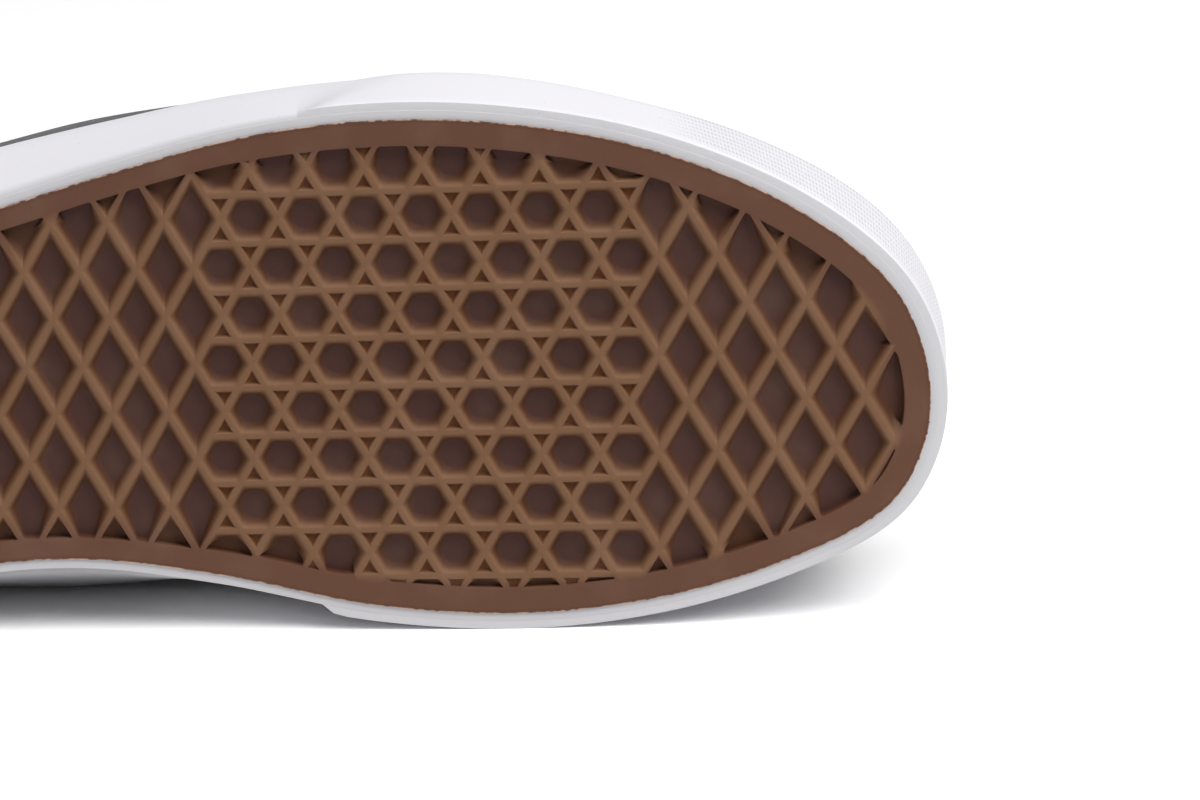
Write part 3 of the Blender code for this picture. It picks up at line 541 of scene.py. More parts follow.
class Paint(Graph):
    """A material being made."""

    def __init__(self, name):
        self.material = bpy.data.materials.new(name)
        self.material.use_nodes = True
        super().__init__(self.material.node_tree)
        self.tree.nodes.clear()
        self.place = self.node("TexCoord", output="Object")

    def noise(self, size, detail=2.0, rough=0.5, stretch=None, seed=0.0):
        """Noise with lumps of about a size in metres, from 0 to 1."""
        place = self.place
        if stretch:
            place = self.node("Mapping", inputs={"Vector": place, "Scale": stretch})
        settings = {"noise_dimensions": "4D"}
        inputs = {"Vector": place, "Scale": 1 / size, "Detail": detail, "Roughness": rough, "W": seed}
        return self.node("TexNoise", settings, inputs, output="Fac")

    def mix(self, share, start, end):
        """A colour between two colours."""
        return self.node("Mix", {"data_type": "RGBA"}, {0: share, 6: start, 7: end}, output=2)

    def mark(self, name):
        """A number kept on the piece's points."""
        return self.node("Attribute", {"attribute_name": name}, output="Fac")

    def flat_place(self):
        """The two coordinates of the piece's own UV map, in metres."""
        split = self.node("SeparateXYZ", inputs={0: self.node("UVMap", {"uv_map": "UVMap"})})
        return split, Value(self, split.socket.node.outputs[1])

    def within(self, value, low, high):
        """0 at low and 1 at high, smoothly."""
        settings = {"interpolation_type": "SMOOTHSTEP"}
        return self.node("MapRange", settings, {"Value": value, "From Min": low, "From Max": high})

    def surface(self, base, roughness, height=None, depth=0.0002, strength=1.0, **constants):
        """Ends the material in a Principled shader. Height runs from 0 to 1 and depth is what 1 stands for."""
        inputs = {"Base Color": base, "Roughness": roughness}
        if height is not None:
            settings = {"Strength": strength, "Distance": depth, "Height": height}
            inputs["Normal"] = self.node("Bump", inputs=settings)
        inputs.update({key.replace("_", " "): value for key, value in constants.items()})
        shader = self.node("BsdfPrincipled", inputs=inputs)
        self.node("OutputMaterial", inputs={"Surface": shader})
        return self.material


def shaded(tint, share, lift=0.0):
    """A darker or a paler colour."""
    return tuple(min(1.0, lift + c * share) for c in tint)


def gum_paint(colours):
    paint = Paint("tread_gum")
    sunk, edge, rib, nook = (paint.mark(name) for name in ("sunk", "edge", "rib", "nook"))
    cloud = paint.noise(0.012, 3.0)
    grain = paint.noise(0.0007, 2.0, 0.6)
    # Painted highlight: the rib crowns are lighter than the rim
    base = paint.mix(rib, colours.gum, colours.gum_rib_highlight)
    # Painted shade: the pocket walls darken with depth
    base = paint.mix(paint.within(sunk, 0.02, 0.90), base, colours.gum_wall_shade)
    # Painted shade on the pocket floors
    base = paint.mix(paint.within(sunk, 0.93, 1.0), base, colours.gum_floor_shade)
    # Painted shade in the small three-cornered pits, in a warmer tone
    base = paint.mix(nook * paint.within(sunk, 0.01, 0.40), base, colours.gum_nook_shade)
    dust = paint.within(cloud, 0.45, 0.75)
    base = paint.mix(dust * 0.08, base, (0.30, 0.20, 0.15))
    # Darker towards the rim's outer edge, in the tone of the painted wall shade
    base = paint.mix(paint.within(edge, 0.05, 0.60) * 0.35, base, colours.gum_wall_shade)
    ragged = paint.within(paint.noise(0.0014, 2.0, seed=4.0), 0.38, 0.60)
    base = paint.mix(ragged * paint.within(edge, 0.74, 0.96) * 0.9, base, colours.gum_trim)
    height = grain * 0.5 + paint.noise(0.0035, 2.0) * 0.5
    return paint.surface(base, 0.60 + 0.12 * cloud, height, 0.00016, 0.6, Specular_IOR_Level=0.25)


def rubber_paint(colours, sizes):
    paint = Paint("sidewall_rubber")
    along, up = paint.flat_place()
    cloud = paint.noise(0.020, 3.0)
    pale = paint.within(cloud, 0.35, 0.75) * 0.20
    base = paint.mix(pale, colours.rubber, shaded(colours.rubber, 0.94))
    # Painted shade on the lower edges of the foxing and toe strip
    base = paint.mix(paint.mark("under"), base, colours.rubber_underside_shade)
    # Painted shade, darker still, on the foxing's side wall at the medial waist
    base = paint.mix(paint.mark("shade") * 0.55, base, shaded(colours.rubber_underside_shade, 0.35))
    speck = paint.within(paint.noise(0.0009, 0.0, seed=7.0), 0.81, 0.85)
    base = paint.mix(speck * 0.35, base, (0.40, 0.38, 0.40))
    turn = math.pi / sizes.knurl_pitch
    one = paint.maths("SINE", (along + up * KNURL_SLANT) * turn)
    two = paint.maths("SINE", (along - up * KNURL_SLANT) * turn)
    diamonds = (one * two * 0.5 + 0.5) * paint.mark("knurl")
    streaks = paint.noise(0.0012, 2.0, stretch=(0.12, 1, 1), seed=2.0)
    height = diamonds * 1.0 + streaks * 0.16 + paint.noise(0.0005, 1.0) * 0.12
    # Painted shade in the grooves between the knurl's diamonds
    shade = (1 - diamonds) * paint.mark("knurl")
    base = paint.mix(paint.within(shade, 0.40, 0.90) * 0.50, base, shaded(colours.rubber, 0.6))
    return paint.surface(base, 0.50 + 0.1 * cloud, height, 0.00025, 0.8, Specular_IOR_Level=0.3)


def cloth_paint(name, tint, pitch, depth, roughness, contrast=0.35):
    """Plain weave on the piece's own UV map."""
    paint = Paint(name)
    along, up = paint.flat_place()
    turn = math.pi / pitch
    warp = paint.maths("ABSOLUTE", paint.maths("SINE", along * turn))
    weft = paint.maths("ABSOLUTE", paint.maths("SINE", up * turn))
    checks = paint.maths("SINE", along * turn) * paint.maths("SINE", up * turn)
    over = paint.within(checks, -0.15, 0.15)
    weave = warp * over + weft * (1 - over)
    fuzz = paint.noise(0.0004, 2.0)
    worn = paint.noise(0.018, 3.0)
    pale = shaded(tint, 1 + contrast * 2.2, 0.02)
    base = paint.mix(weave * contrast + fuzz * 0.25, tint, pale)
    base = paint.mix(paint.within(worn, 0.45, 0.8) * 0.18, base, shaded(tint, 1.5, 0.03))
    return paint.surface(base, roughness, weave + fuzz * 0.3, depth, 0.8, Sheen_Weight=0.25, Sheen_Roughness=0.5)


def suede_paint(colours):
    paint = Paint("brushed_suede")
    nap = paint.noise(0.0005, 3.0, 0.7)
    brushed = paint.noise(0.006, 3.0, stretch=(1, 0.45, 1), seed=3.0)
    pale = shaded(colours.suede, 2.4, 0.012)
    base = paint.mix(paint.within(brushed, 0.35, 0.72) * 0.55 + nap * 0.25, colours.suede, pale)
    height = nap * 0.7 + paint.noise(0.0016, 2.0) * 0.3
    return paint.surface(base, 0.92, height, 0.00025, 0.7, Sheen_Weight=0.45, Sheen_Roughness=0.45)


def lining_paint(colours):
    paint = Paint("lining_mesh")
    mesh = paint.node("TexVoronoi", {"feature": "DISTANCE_TO_EDGE"}, {"Vector": paint.place, "Scale": 1 / 0.0013})
    holes = paint.within(mesh, 0.05, 0.22)
    base = paint.mix(holes, shaded(colours.lining, 0.5), shaded(colours.lining, 1.25))
    return paint.surface(base, 0.9, holes, 0.00025, 0.7, Sheen_Weight=0.3)


def thread_paint(colours):
    paint = Paint("sewing_thread")
    twist = paint.noise(0.0003, 1.0)
    base = paint.mix(twist, colours.thread, shaded(colours.thread, 1.7))
    return paint.surface(base, 0.7, twist, 0.0001, 0.5, Sheen_Weight=0.2)


def metal_paint(colours):
    paint = Paint("dark_metal")
    worn = paint.noise(0.0012, 3.0)
    base = paint.mix(paint.within(worn, 0.5, 0.8) * 0.5, colours.metal, (0.22, 0.22, 0.23))
    return paint.surface(base, 0.30 + 0.2 * worn, worn, 0.00004, 0.4, Metallic=0.9)


def paint_for(name):
    """The finished material of a name, made when it is first asked for."""
    made = bpy.data.materials.get(name)
    if made:
        return made
    colours, sizes = bpy.context.scene.shoe_colours, bpy.context.scene.shoe_sizes
    makers = {
        "tread_gum": lambda: gum_paint(colours),
        "sidewall_rubber": lambda: rubber_paint(colours, sizes),
        "canvas_weave": lambda: cloth_paint("canvas_weave", colours.canvas, sizes.thread_pitch, 0.00022, 0.92),
        "insole_cloth": lambda: cloth_paint("insole_cloth", colours.insole, 0.0009, 0.00015, 0.9),
        "lace_weave": lambda: cloth_paint("lace_weave", colours.lace, 0.0009, 0.0003, 0.85, 0.12),
        "brushed_suede": lambda: suede_paint(colours),
        "lining_mesh": lambda: lining_paint(colours),
        "sewing_thread": lambda: thread_paint(colours),
        "dark_metal": lambda: metal_paint(colours),
    }
    return makers[name]()


def piece_of(name, mesh, replaced=()):
    """Links a finished mesh as a piece of the shoe."""
    piece = bpy.data.objects.new(name, mesh)
    bpy.context.scene.collection.objects.link(piece)
    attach(piece, "root")
    if replaced:
        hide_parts(*replaced)
    return piece


def add_piece(name, points, faces, paint, replaced=(), flat=None, marks=None, sharp=40):
    """A piece from points of the standing shoe: merged, facing outwards and laid down."""
    mesh = bpy.data.meshes.new(name)
    mesh.from_pydata([tuple(p) for p in points], [], faces)
    for key, values in (marks or {}).items():
        mesh.attributes.new(key, "FLOAT", "POINT").data.foreach_set("value", values)
    if flat:
        corners = np.zeros(len(mesh.loops), dtype=np.int32)
        mesh.loops.foreach_get("vertex_index", corners)
        mesh.uv_layers.new(name="UVMap").data.foreach_set("uv", np.array(flat, dtype=np.float32)[corners].ravel())
    shape = bmesh.new()
    shape.from_mesh(mesh)
    bmesh.ops.remove_doubles(shape, verts=shape.verts, dist=1e-6)
    bmesh.ops.recalc_face_normals(shape, faces=shape.faces)
    if shape.calc_volume(signed=True) < 0:
        bmesh.ops.reverse_faces(shape, faces=shape.faces)
    shape.to_mesh(mesh)
    shape.free()
    mesh.transform(LAID)
    mesh.shade_smooth()
    mesh.set_sharp_from_angle(angle=math.radians(sharp))
    mesh.materials.append(paint_for(paint))
    return piece_of(name, mesh, replaced)


def quads(rows, columns, wrap=False):
    """Faces of a grid of points that are numbered row by row. Wrap joins each row's last column to its first."""
    faces = []
    for row in range(0, (rows - 1) * columns, columns):
        for c in range(columns if wrap else columns - 1):
            d = (c + 1) % columns
            faces.append((row + c, row + d, row + columns + d, row + columns + c))
    return faces


def belt(above, below):
    """Faces that join two rings of points."""
    after = [(k + 1) % len(above) for k in range(len(above))]
    return [(above[k], above[n], below[n], below[k]) for k, n in enumerate(after)]


def lengths_along(line):
    gone = [0.0]
    for a, b in zip(line, line[1:]):
        gone.append(gone[-1] + (b - a).length)
    return gone


def unrolled(rows, guide):
    """The UV place of each point of a grid, in metres along a guide line and then along its row."""
    return [(u, v) for u, row in zip(lengths_along(guide), rows) for v in lengths_along(row)]


def layer(name, outer, inner, paint, replaced=(), sharp=40, open_top=None, folded=False):
    """A closed piece from two matching grids.

    open_top says for each row whether its last points are a real edge. Folded, the last row meets itself.
    """
    rows, columns = len(outer), len(outer[0])
    points = [p for row in outer for p in row] + [p for row in inner for p in row]
    count = rows * columns
    faces = quads(rows, columns)
    faces += [tuple(count + k for k in reversed(face)) for face in faces]
    for r in range(rows - 1):
        a, b = r * columns, (r + 1) * columns
        faces.append((a, b, count + b, count + a))
        if open_top is None or open_top[r] or open_top[r + 1]:
            a, b = a + columns - 1, b + columns - 1
            faces.append((b, a, count + a, count + b))
    if (outer[0][0] - outer[-1][0]).length > 1e-6 or (outer[0][-1] - outer[-1][-1]).length > 1e-6:
        for c in range(columns - 1):
            faces.append((c + 1, c, count + c, count + c + 1))
            a = (rows - 1) * columns + c
            if not folded:
                faces.append((a, a + 1, count + a + 1, count + a))
    flat = unrolled(outer, [row[columns // 2] for row in outer])
    return add_piece(name, points, faces, paint, replaced, flat * 2, sharp=sharp)


def swept(name, sections, paint, replaced=(), marks=None, sharp=40):
    """A piece from closed sections along a path, with a cap at each end."""
    rows, columns = len(sections), len(sections[0])
    points = [p for section in sections for p in section]
    faces = quads(rows, columns, wrap=True)
    faces += [tuple(reversed(range(columns))), tuple((rows - 1) * columns + k for k in range(columns))]
    flat = unrolled(sections, [section[0] for section in sections])
    return add_piece(name, points, faces, paint, replaced, flat, marks, sharp)


def soften_edges(piece, width, segments=2):
    """Rounds the sharp edges of a panel."""
    bevel = piece.modifiers.new("edges", "BEVEL")
    bevel.width, bevel.segments = width, segments
    bevel.limit_method, bevel.angle_limit = "ANGLE", math.radians(50)


def ladder(first, count):
    """Faces that fill a ring of points with rungs from the medial to the lateral side."""
    faces = []
    for k in range(count // 2):
        corners = dict.fromkeys((k, k + 1, count - k - 1, (count - k) % count))
        if len(corners) >= 3:
            faces.append(tuple(first + n for n in corners))
    return faces


def lattice_point(across_cells, up_cells):
    scale = CELL_PITCH / (1 - CELL_GROWTH * across_cells)
    return Vector((TREAD_CENTRE * OUTSOLE_LENGTH + across_cells * scale, up_cells * scale))


TALL = math.sqrt(3) / 2
CELL_CORNERS = {
    "diamond": ((-0.5, 0), (0, -TALL), (0.5, 0), (0, TALL)),
    "hexagon": ((-0.5, 0), (-0.25, -TALL / 2), (0.25, -TALL / 2), (0.5, 0), (0.25, TALL / 2), (-0.25, TALL / 2)),
    "triangle_up": ((0, -TALL / 3), (0.25, TALL / 6), (-0.25, TALL / 6)),
    "triangle_down": ((0, TALL / 3), (-0.25, -TALL / 6), (0.25, -TALL / 6)),
}


def cells():
    """Every pocket of the lattice: its kind, its centre in cells and the radius that fits in it, in cells."""
    found = []
    low = math.floor(-TREAD_CENTRE * OUTSOLE_LENGTH / CELL_PITCH * 1.1)
    high = math.ceil((1 - TREAD_CENTRE) * OUTSOLE_LENGTH / CELL_PITCH * 1.1)
    rows = math.ceil(OUTSOLE_WIDTH / CELL_PITCH)
    for row in range(-rows, rows + 1):
        for step in range(low, high + 1):
            centre = (step + (0.5 if row % 2 else 0.0), row * TALL)
            starred = STAR_ZONE[0] <= centre[0] <= STAR_ZONE[1]
            found.append(("hexagon" if starred else "diamond", centre, TALL / 2))
            crossing = centre[0] + 0.5
            if STAR_ZONE[0] <= crossing <= STAR_ZONE[1]:
                found.append(("triangle_up", (crossing, centre[1] + TALL / 3), TALL / 6))
                found.append(("triangle_down", (crossing, centre[1] - TALL / 3), TALL / 6))
    return found


def rim_width(station):
    """The flat rim around the tread is narrower at the waist and heel."""
    return RIM_WIDTH * between(RIM_AT_WAIST, 1.0, smooth_share(from_heel(station), 6.0, 8.5))


def field_edge():
    """The inner edge of the tread's rim: its points, outward directions and whether it bulges out there."""
    steps = 10 * LOOP
    edge = []
    for k in range(steps):
        place, outward = outline(LOOP * k / steps)
        edge.append((place - outward * (rim_width(LOOP * k / steps) + GAP), outward))
    bulging = [edge[k - 1][1].cross(edge[(k + 1) % steps][1]) < 0 for k in range(steps)]
    return [(p, n, b) for (p, n), b in zip(edge, bulging)]


def clipped(shape, place, outward):
    """What is left of a convex shape on the inner side of a line."""
    kept = []
    for a, b in zip(shape, shape[1:] + shape[:1]):
        from_a, from_b = (a - place).dot(outward), (b - place).dot(outward)
        if from_a <= 0:
            kept.append(a)
        if (from_a < 0 < from_b) or (from_b < 0 < from_a):
            kept.append(a.lerp(b, from_a / (from_a - from_b)))
    return kept


def middle_of(shape):
    area, middle = 0.0, Vector((0, 0))
    for a, b in zip(shape, shape[1:] + shape[:1]):
        part = a.cross(b) / 2
        area += part
        middle += (a + b) * part / 3
    return middle / area if abs(area) > 1e-12 else shape[0].copy()


def room_in(shape, middle):
    """The least distance from the middle of a convex shape to its sides."""
    found = []
    for a, b in zip(shape, shape[1:] + shape[:1]):
        if (b - a).length > 1e-7:
            found.append(abs((middle - a).cross((b - a).normalized())))
    return min(found)


def within_rim(shape, edge):
    """The shape cut back to the inner edge of the rim, or None if too little is left."""
    middle = middle_of(shape)
    near = [e for e in edge if (e[0] - middle).length < 1.3 * CELL_PITCH]
    if not near:
        nearest = min(edge, key=lambda e: (e[0] - middle).length)
        return shape if (middle - nearest[0]).dot(nearest[1]) < 0 else None
    nearest = min(near, key=lambda e: (e[0] - middle).length)
    for place, outward, bulging in near:
        if bulging or place == nearest[0]:
            shape = clipped(shape, place, outward)
            if len(shape) < 3:
                return None
    shape = [p for k, p in enumerate(shape) if (p - shape[k - 1]).length > SHORTEST_SIDE]
    if len(shape) < 3 or 2 * room_in(shape, middle_of(shape)) < SMALLEST_POCKET:
        return None
    return shape


def rounded(shape, radius):
    """The shape with each corner drawn as a short curve of three points."""
    found = []
    for k, corner in enumerate(shape):
        to_last, to_next = shape[k - 1] - corner, shape[(k + 1) % len(shape)] - corner
        a = corner + to_last.normalized() * min(radius, 0.42 * to_last.length)
        b = corner + to_next.normalized() * min(radius, 0.42 * to_next.length)
        found += [a, a / 4 + corner / 2 + b / 4, b]
    return found


def pockets(rib_width):
    """Every pocket's rings from its mouth to its floor, if it is a small nook, and its points on the rim.

    A ring is a loop on the sole and its depth.
    """
    edge = field_edge()
    found = []
    for kind, centre, radius in cells():
        shrink = 1 - rib_width / 2 / (radius * CELL_PITCH)
        corners = CELL_CORNERS[kind]
        full = [lattice_point(centre[0] + x * shrink, centre[1] + y * shrink) for x, y in corners]
        shape = within_rim(full, edge)
        if shape is None:
            continue
        middle = middle_of(shape)
        room = room_in(shape, middle)
        scale = min(1.0, room / FULL_ROOM)
        rings = []
        small = kind.startswith("triangle")
        shallow = NOOK_SHALLOWING if small else POCKET_SHALLOWING
        for run, depth, corner in POCKET_RINGS:
            share = 1 - run * scale / room
            loop = rounded([middle + (p - middle) * share for p in shape], corner * scale)
            rings.append((loop, depth * scale**shallow))
        rings.append(([middle + (p - middle) * FLOOR_MIDDLE for p in rings[-1][0]], rings[-1][1]))
        on_rim = set()
        for k, spot in enumerate(rings[1][0]):
            place, outward, _ = min(edge, key=lambda e: (e[0] - spot).length_squared)
            if (place - spot).dot(outward) < NEAR_RIM:
                on_rim.add(k)
        for ring, _ in rings[2:-1]:
            for k in on_rim:
                ring[k] = ring[k].lerp(rings[1][0][k], RIM_STEEPNESS)
        found.append((rings, float(small), on_rim))
    return found


class SHOE_OT_outsole(bpy.types.Operator):
    """Moulds the gum outsole with its rim and crossing ribs"""

    bl_idname = "shoe.outsole"
    bl_label = "Outsole"

    def execute(self, context):
        chance = random.Random(11)
        stations = loop_stations(40)[:-1]
        count = len(stations)
        trims = [0.00005 + chance.uniform(-1, 1) * 0.00003 + (chance.random() > 0.96) * 0.00010 for _ in stations]
        flat = [wall_point(s, 0.0, out).xy for s, out in zip(stations, trims)]
        edge_marks = [1.0] * count
        for inset, mark in ((0.0004, 0.55), (0.0009, 0.0), (None, 0.0)):
            for station in stations[::2]:
                place, outward = outline(station)
                flat.append(place - outward * (inset or rim_width(station) - RIM_INNER_BAND))
                edge_marks.append(mark)
        ribs = [0.0] * len(flat)
        loops = [list(reversed(range(count)))]
        wells = pockets(context.scene.shoe_sizes.rib_width)
        for rings, _, on_rim in wells:
            mouth = rings[0][0]
            loops.append(list(range(len(flat), len(flat) + len(mouth))))
            flat += mouth
            ribs += [float(k not in on_rim) for k in range(len(mouth))]
        spots, _, tiles, old_spots, _, owners = delaunay_2d_cdt(flat, [], loops, 1, 1e-7)
        points = [Vector((p.x, p.y, toe_lift(p.x))) for p in flat]
        numbers = []
        for spot, old in zip(spots, old_spots):
            numbers.append(old[0] if old else len(points))
            if not old:
                points.append(Vector((spot.x, spot.y, toe_lift(spot.x))))
        ribs += [0.0] * (len(points) - len(ribs))
        sunk, nooks = [0.0] * len(points), [0.0] * len(points)
        faces = [tuple(numbers[k] for k in tile) for tile, owner in zip(tiles, owners) if owner == [0]]
        for loop, (rings, nook, on_rim) in zip(loops[1:], wells):
            above, size = loop, len(loop)
            for ring, depth in rings[1:]:
                here = range(len(points), len(points) + size)
                points += [Vector((p.x, p.y, toe_lift(p.x) + depth)) for p in ring]
                sunk += [depth / POCKET_DEPTH] * size
                nooks += [nook] * size
                ribs += [float(k not in on_rim) for k in range(size)]
                faces += belt(above, here)
                above = here
            faces.append(tuple(above))
        first = len(points)
        points += [wall_point(s, OUTSOLE_THICKNESS, -TUCK_GAP) for s in stations]
        faces += belt(range(count), range(first, first + count)) + ladder(first, count)
        # The sunk, rib and nook marks steer the tread's painted shade and highlight; the edge mark darkens the rim's
        # outer edge and adds trim flecks
        marks = {"edge": edge_marks, "rib": ribs, "sunk": sunk, "nook": nooks}
        for values in marks.values():
            values += [0.0] * (len(points) - len(values))
        add_piece("tread_sole", points, faces, "tread_gum", ["outsole"], marks=marks, sharp=34)
        return {"FINISHED"}


def edge_profile(low, high, thick, wall_steps):
    """Height and offset pairs up the outer face of a strip of rubber, with rounded edges, the lower one crisper."""
    corner = [(math.cos(a), math.sin(a)) for a in (math.pi / 8 * k for k in range(5))]
    radius, crisp = RUBBER_EDGE, RUBBER_EDGE * CRISP_EDGE
    found = [(low + crisp * (1 - c), thick - crisp * (1 - s)) for c, s in corner]
    found += [(between(low + radius, high - radius, k / wall_steps), thick) for k in range(1, wall_steps)]
    return found + [(high - radius * (1 - s), thick - radius * (1 - c)) for c, s in corner]


class SHOE_OT_foxing(bpy.types.Operator):
    """Wraps the white rubber wall around the shoe, with the midsole plate in it"""

    bl_idname = "shoe.foxing"
    bl_label = "Foxing"

    def execute(self, context):
        stations = loop_stations(8)
        rows = []
        for station in stations:
            high = foxing_height(station)
            wave = 0.00008 * math.sin(station * 5.1) + 0.00005 * math.sin(station * 11.7 + 1)
            profile = [(OUTSOLE_THICKNESS, 0.0), (FOXING_RECESS, 0.0), (FOXING_RECESS, 0.0008)]
            profile += edge_profile(FOXING_RECESS, high + wave, FOXING_THICKNESS, 6)
            plate = plate_height(station)
            profile += [(high + wave, 0.0004), (high, -0.0001), (between(high, plate, 0.5), 0.0), (plate, 0.0)]
            rows.append([wall_point(station, h, out) for h, out in profile])
        columns = len(rows[0])
        points = [p for row in rows for p in row]
        faces = quads(len(rows), columns)
        count = len(rows) - 1
        for rung in ladder(0, count):
            faces.append(tuple(k * columns for k in rung))
            faces.append(tuple(k * columns + columns - 1 for k in reversed(rung)))
        flat = unrolled(rows, [row[5] for row in rows])
        across = range(columns)
        # Painted shade on the foxing's lower edge
        marks = {"under": [0.9 * (k < 8) for k in across] * len(rows)}
        # Painted shade on the foxing's side wall at the medial waist
        marks["shade"] = [swell(s, *WAIST_ZONE) * (4 < k < columns - 5) for s in stations for k in across]
        add_piece("foxing_wall", points, faces, "sidewall_rubber", ["foxing"], flat, marks)
        return {"FINISHED"}


class SHOE_OT_toe_bumper(bpy.types.Operator):
    """Adds the second strip of rubber around the toe, with its fine diamond knurl"""

    bl_idname = "shoe.toe_bumper"
    bl_label = "Toe Bumper"

    def execute(self, context):
        inside, low = FOXING_THICKNESS - BUMPER_SINK, FOXING_RECESS + 0.00005
        thick = FOXING_THICKNESS + GAP + BUMPER_THICKNESS
        sections, knurl, under = [], [], []
        for station in spread(BUMPER_MEDIAL, BUMPER_LATERAL, 156):
            from_end = min(station - BUMPER_MEDIAL, BUMPER_LATERAL - station)
            high = foxing_height(station) - BUMPER_DROP + 0.0001 * math.sin(station * 7.3)
            profile = [(low, inside), *edge_profile(low, high, thick, 8), (high, inside)]
            for k, (h, out) in enumerate(profile):
                fullness = between(0.15, 1.0, smooth_share(from_end, 0.0, 0.085 + 0.9 * h / high))
                profile[k] = (h, between(inside, out, fullness))
            sections.append([wall_point(station, h, out) for h, out in profile])
            zone, last = swell(station, *KNURL_ZONE), len(profile) - 1
            knurl += [zone * (1 < k < last - 1 and h >= KNURL_FOOT) for k, (h, _) in enumerate(profile)]
            # Painted shade on the strip's lower edge
            under += [0.8 * (k < 4) for k in range(len(profile))]
        marks = {"knurl": knurl, "under": under}
        swept("toe_strip", sections, "sidewall_rubber", ["toe_bumper"], marks)
        return {"FINISHED"}


class SHOE_OT_insole(bpy.types.Operator):
    """Lays the footbed on the midsole plate"""

    bl_idname = "shoe.insole"
    bl_label = "Insole"

    def execute(self, context):
        inset = -(TUCK_GAP + UPPER_WALL + GAP)
        steps, across = 84, 18
        tops, bottoms = [], []
        for station in spread(0, TOE_STATION, steps):
            low = plate_height(station) + GAP
            lateral, medial = (wall_point(s, low, inset) for s in (LOOP - station, station))
            top, bottom = [], []
            for k in range(across + 1):
                share = k / across
                place = lateral.lerp(medial, share)
                cup = abs(2 * share - 1) ** 5 * 0.0022
                arch = 0.0025 * math.exp(-(((station - 5.5) / 1.6) ** 2)) * smooth_share(share, 0.55, 1.0)
                top.append(place + Vector((0, 0, INSOLE_THICKNESS + cup + arch)))
                bottom.append(place)
            tops.append(top)
            bottoms.append(bottom)
        layer("footbed", tops, bottoms, "insole_cloth", ["insole"])
        return {"FINISHED"}


def crease(station, share):
    """How far the vamp's canvas dips where the foot bends."""
    if share < 0.3 or not 9.5 < from_heel(station) < 13:
        return 0.0
    x = skin_point(station, share).x / OUTSOLE_LENGTH
    depth = 0.0
    for place, size, lean in VAMP_FOLDS:
        depth += size * math.exp(-(((x - place - lean * (1 - share)) / VAMP_FOLD_WIDTH) ** 2))
    return -depth * smooth_share(share, 0.3, 0.7)


class SHOE_OT_upper(bpy.types.Operator):
    """Sews the hollow upper over the last"""

    bl_idname = "shoe.upper"
    bl_label = "Upper"

    def execute(self, context):
        stations = loop_stations(8)
        shares = [-1.0, -0.6, -0.25, -0.05, 0.0] + spread(0.04, 1.0, 24)
        outer, inner = [], []
        for station in stations:
            outer.append([over_skin(station, v, crease(station, v)) for v in shares])
            inner.append([over_skin(station, v, -UPPER_WALL) for v in shares])
        for row in (outer, inner):
            row[-1] = [p.copy() for p in row[0]]
        is_open = [opening(s) > 0 for s in stations]
        piece = layer("upper_body", outer, inner, "canvas_weave", ["upper"], open_top=is_open)
        soften_edges(piece, 0.0005)
        return {"FINISHED"}


def panel(name, grid, replaced, open_top=None, folded=False):
    """A suede panel on the skin from a grid of stations and shares. Folded, its last row meets itself."""
    outer = [[over_skin(s, v, GAP + OVERLAY_THICKNESS) for s, v in row] for row in grid]
    inner = [[over_skin(s, v, -OVERLAY_SINK) for s, v in row] for row in grid]
    if folded:
        half = len(grid[-1]) // 2
        for rows in (outer, inner):
            rows[-1][half + 1 :] = [p.copy() for p in reversed(rows[-1][:half])]
    piece = layer(name, outer, inner, "brushed_suede", replaced, 50, open_top, folded)
    soften_edges(piece, 0.0004)


def toe_cap_line(share):
    """The toe cap's back edge at a share of the skin: its medial and its lateral station."""
    x = between(TOE_CAP_SIDE, TOE_CAP_RIDGE, math.sin(share * math.pi / 2)) * OUTSOLE_LENGTH
    medial = station_at(share, x, THROAT_STATION - 2, TOE_STATION - 0.1)
    return medial, station_at(share, x, TOE_STATION + 0.1, LOOP - THROAT_STATION + 2)


def counter_top(station):
    bell = 0.5 + 0.5 * math.cos(math.pi * min(1.0, abs(station) / COUNTER_STATION) ** 1.4)
    return between(COUNTER_END, COUNTER_TOP, bell)


class SHOE_OT_toe_cap(bpy.types.Operator):
    """Cuts the suede cap over the toes"""

    bl_idname = "shoe.toe_cap"
    bl_label = "Toe Cap"

    def execute(self, context):
        grid = []
        for share in spread(OVERLAY_FOOT, 1.0, 22):
            grid.append([(s, share) for s in spread(*toe_cap_line(share), 56)])
        panel("toe_panel", grid, ["toe_cap"], folded=True)
        return {"FINISHED"}


class SHOE_OT_heel_counter(bpy.types.Operator):
    """Cuts the suede panel around the heel"""

    bl_idname = "shoe.heel_counter"
    bl_label = "Heel Counter"

    def execute(self, context):
        grid = []
        for station in spread(-COUNTER_STATION, COUNTER_STATION, 72):
            grid.append([(station, v) for v in spread(OVERLAY_FOOT, counter_top(station), 14)])
        panel("heel_panel", grid, ["heel_counter"])
        return {"FINISHED"}


def eyestay_foot(station, width):
    """The share where the eyestay's outer edge lies, a width away from the throat."""
    if from_heel(station) > THROAT_STATION:
        return share_away_from(station, top_point(THROAT_STATION), width)
    return share_from_top(station, width)


def nose_stations(width):
    """Stations in front of the throat, closer together towards the tip of the eyestay's nose."""
    step = (top_point(THROAT_STATION + 1) - top_point(THROAT_STATION)).length
    shares = [math.sin(math.pi / 2 * k / 12) for k in range(1, 13)]
    return [THROAT_STATION + width / step * share * 0.985 for share in shares]


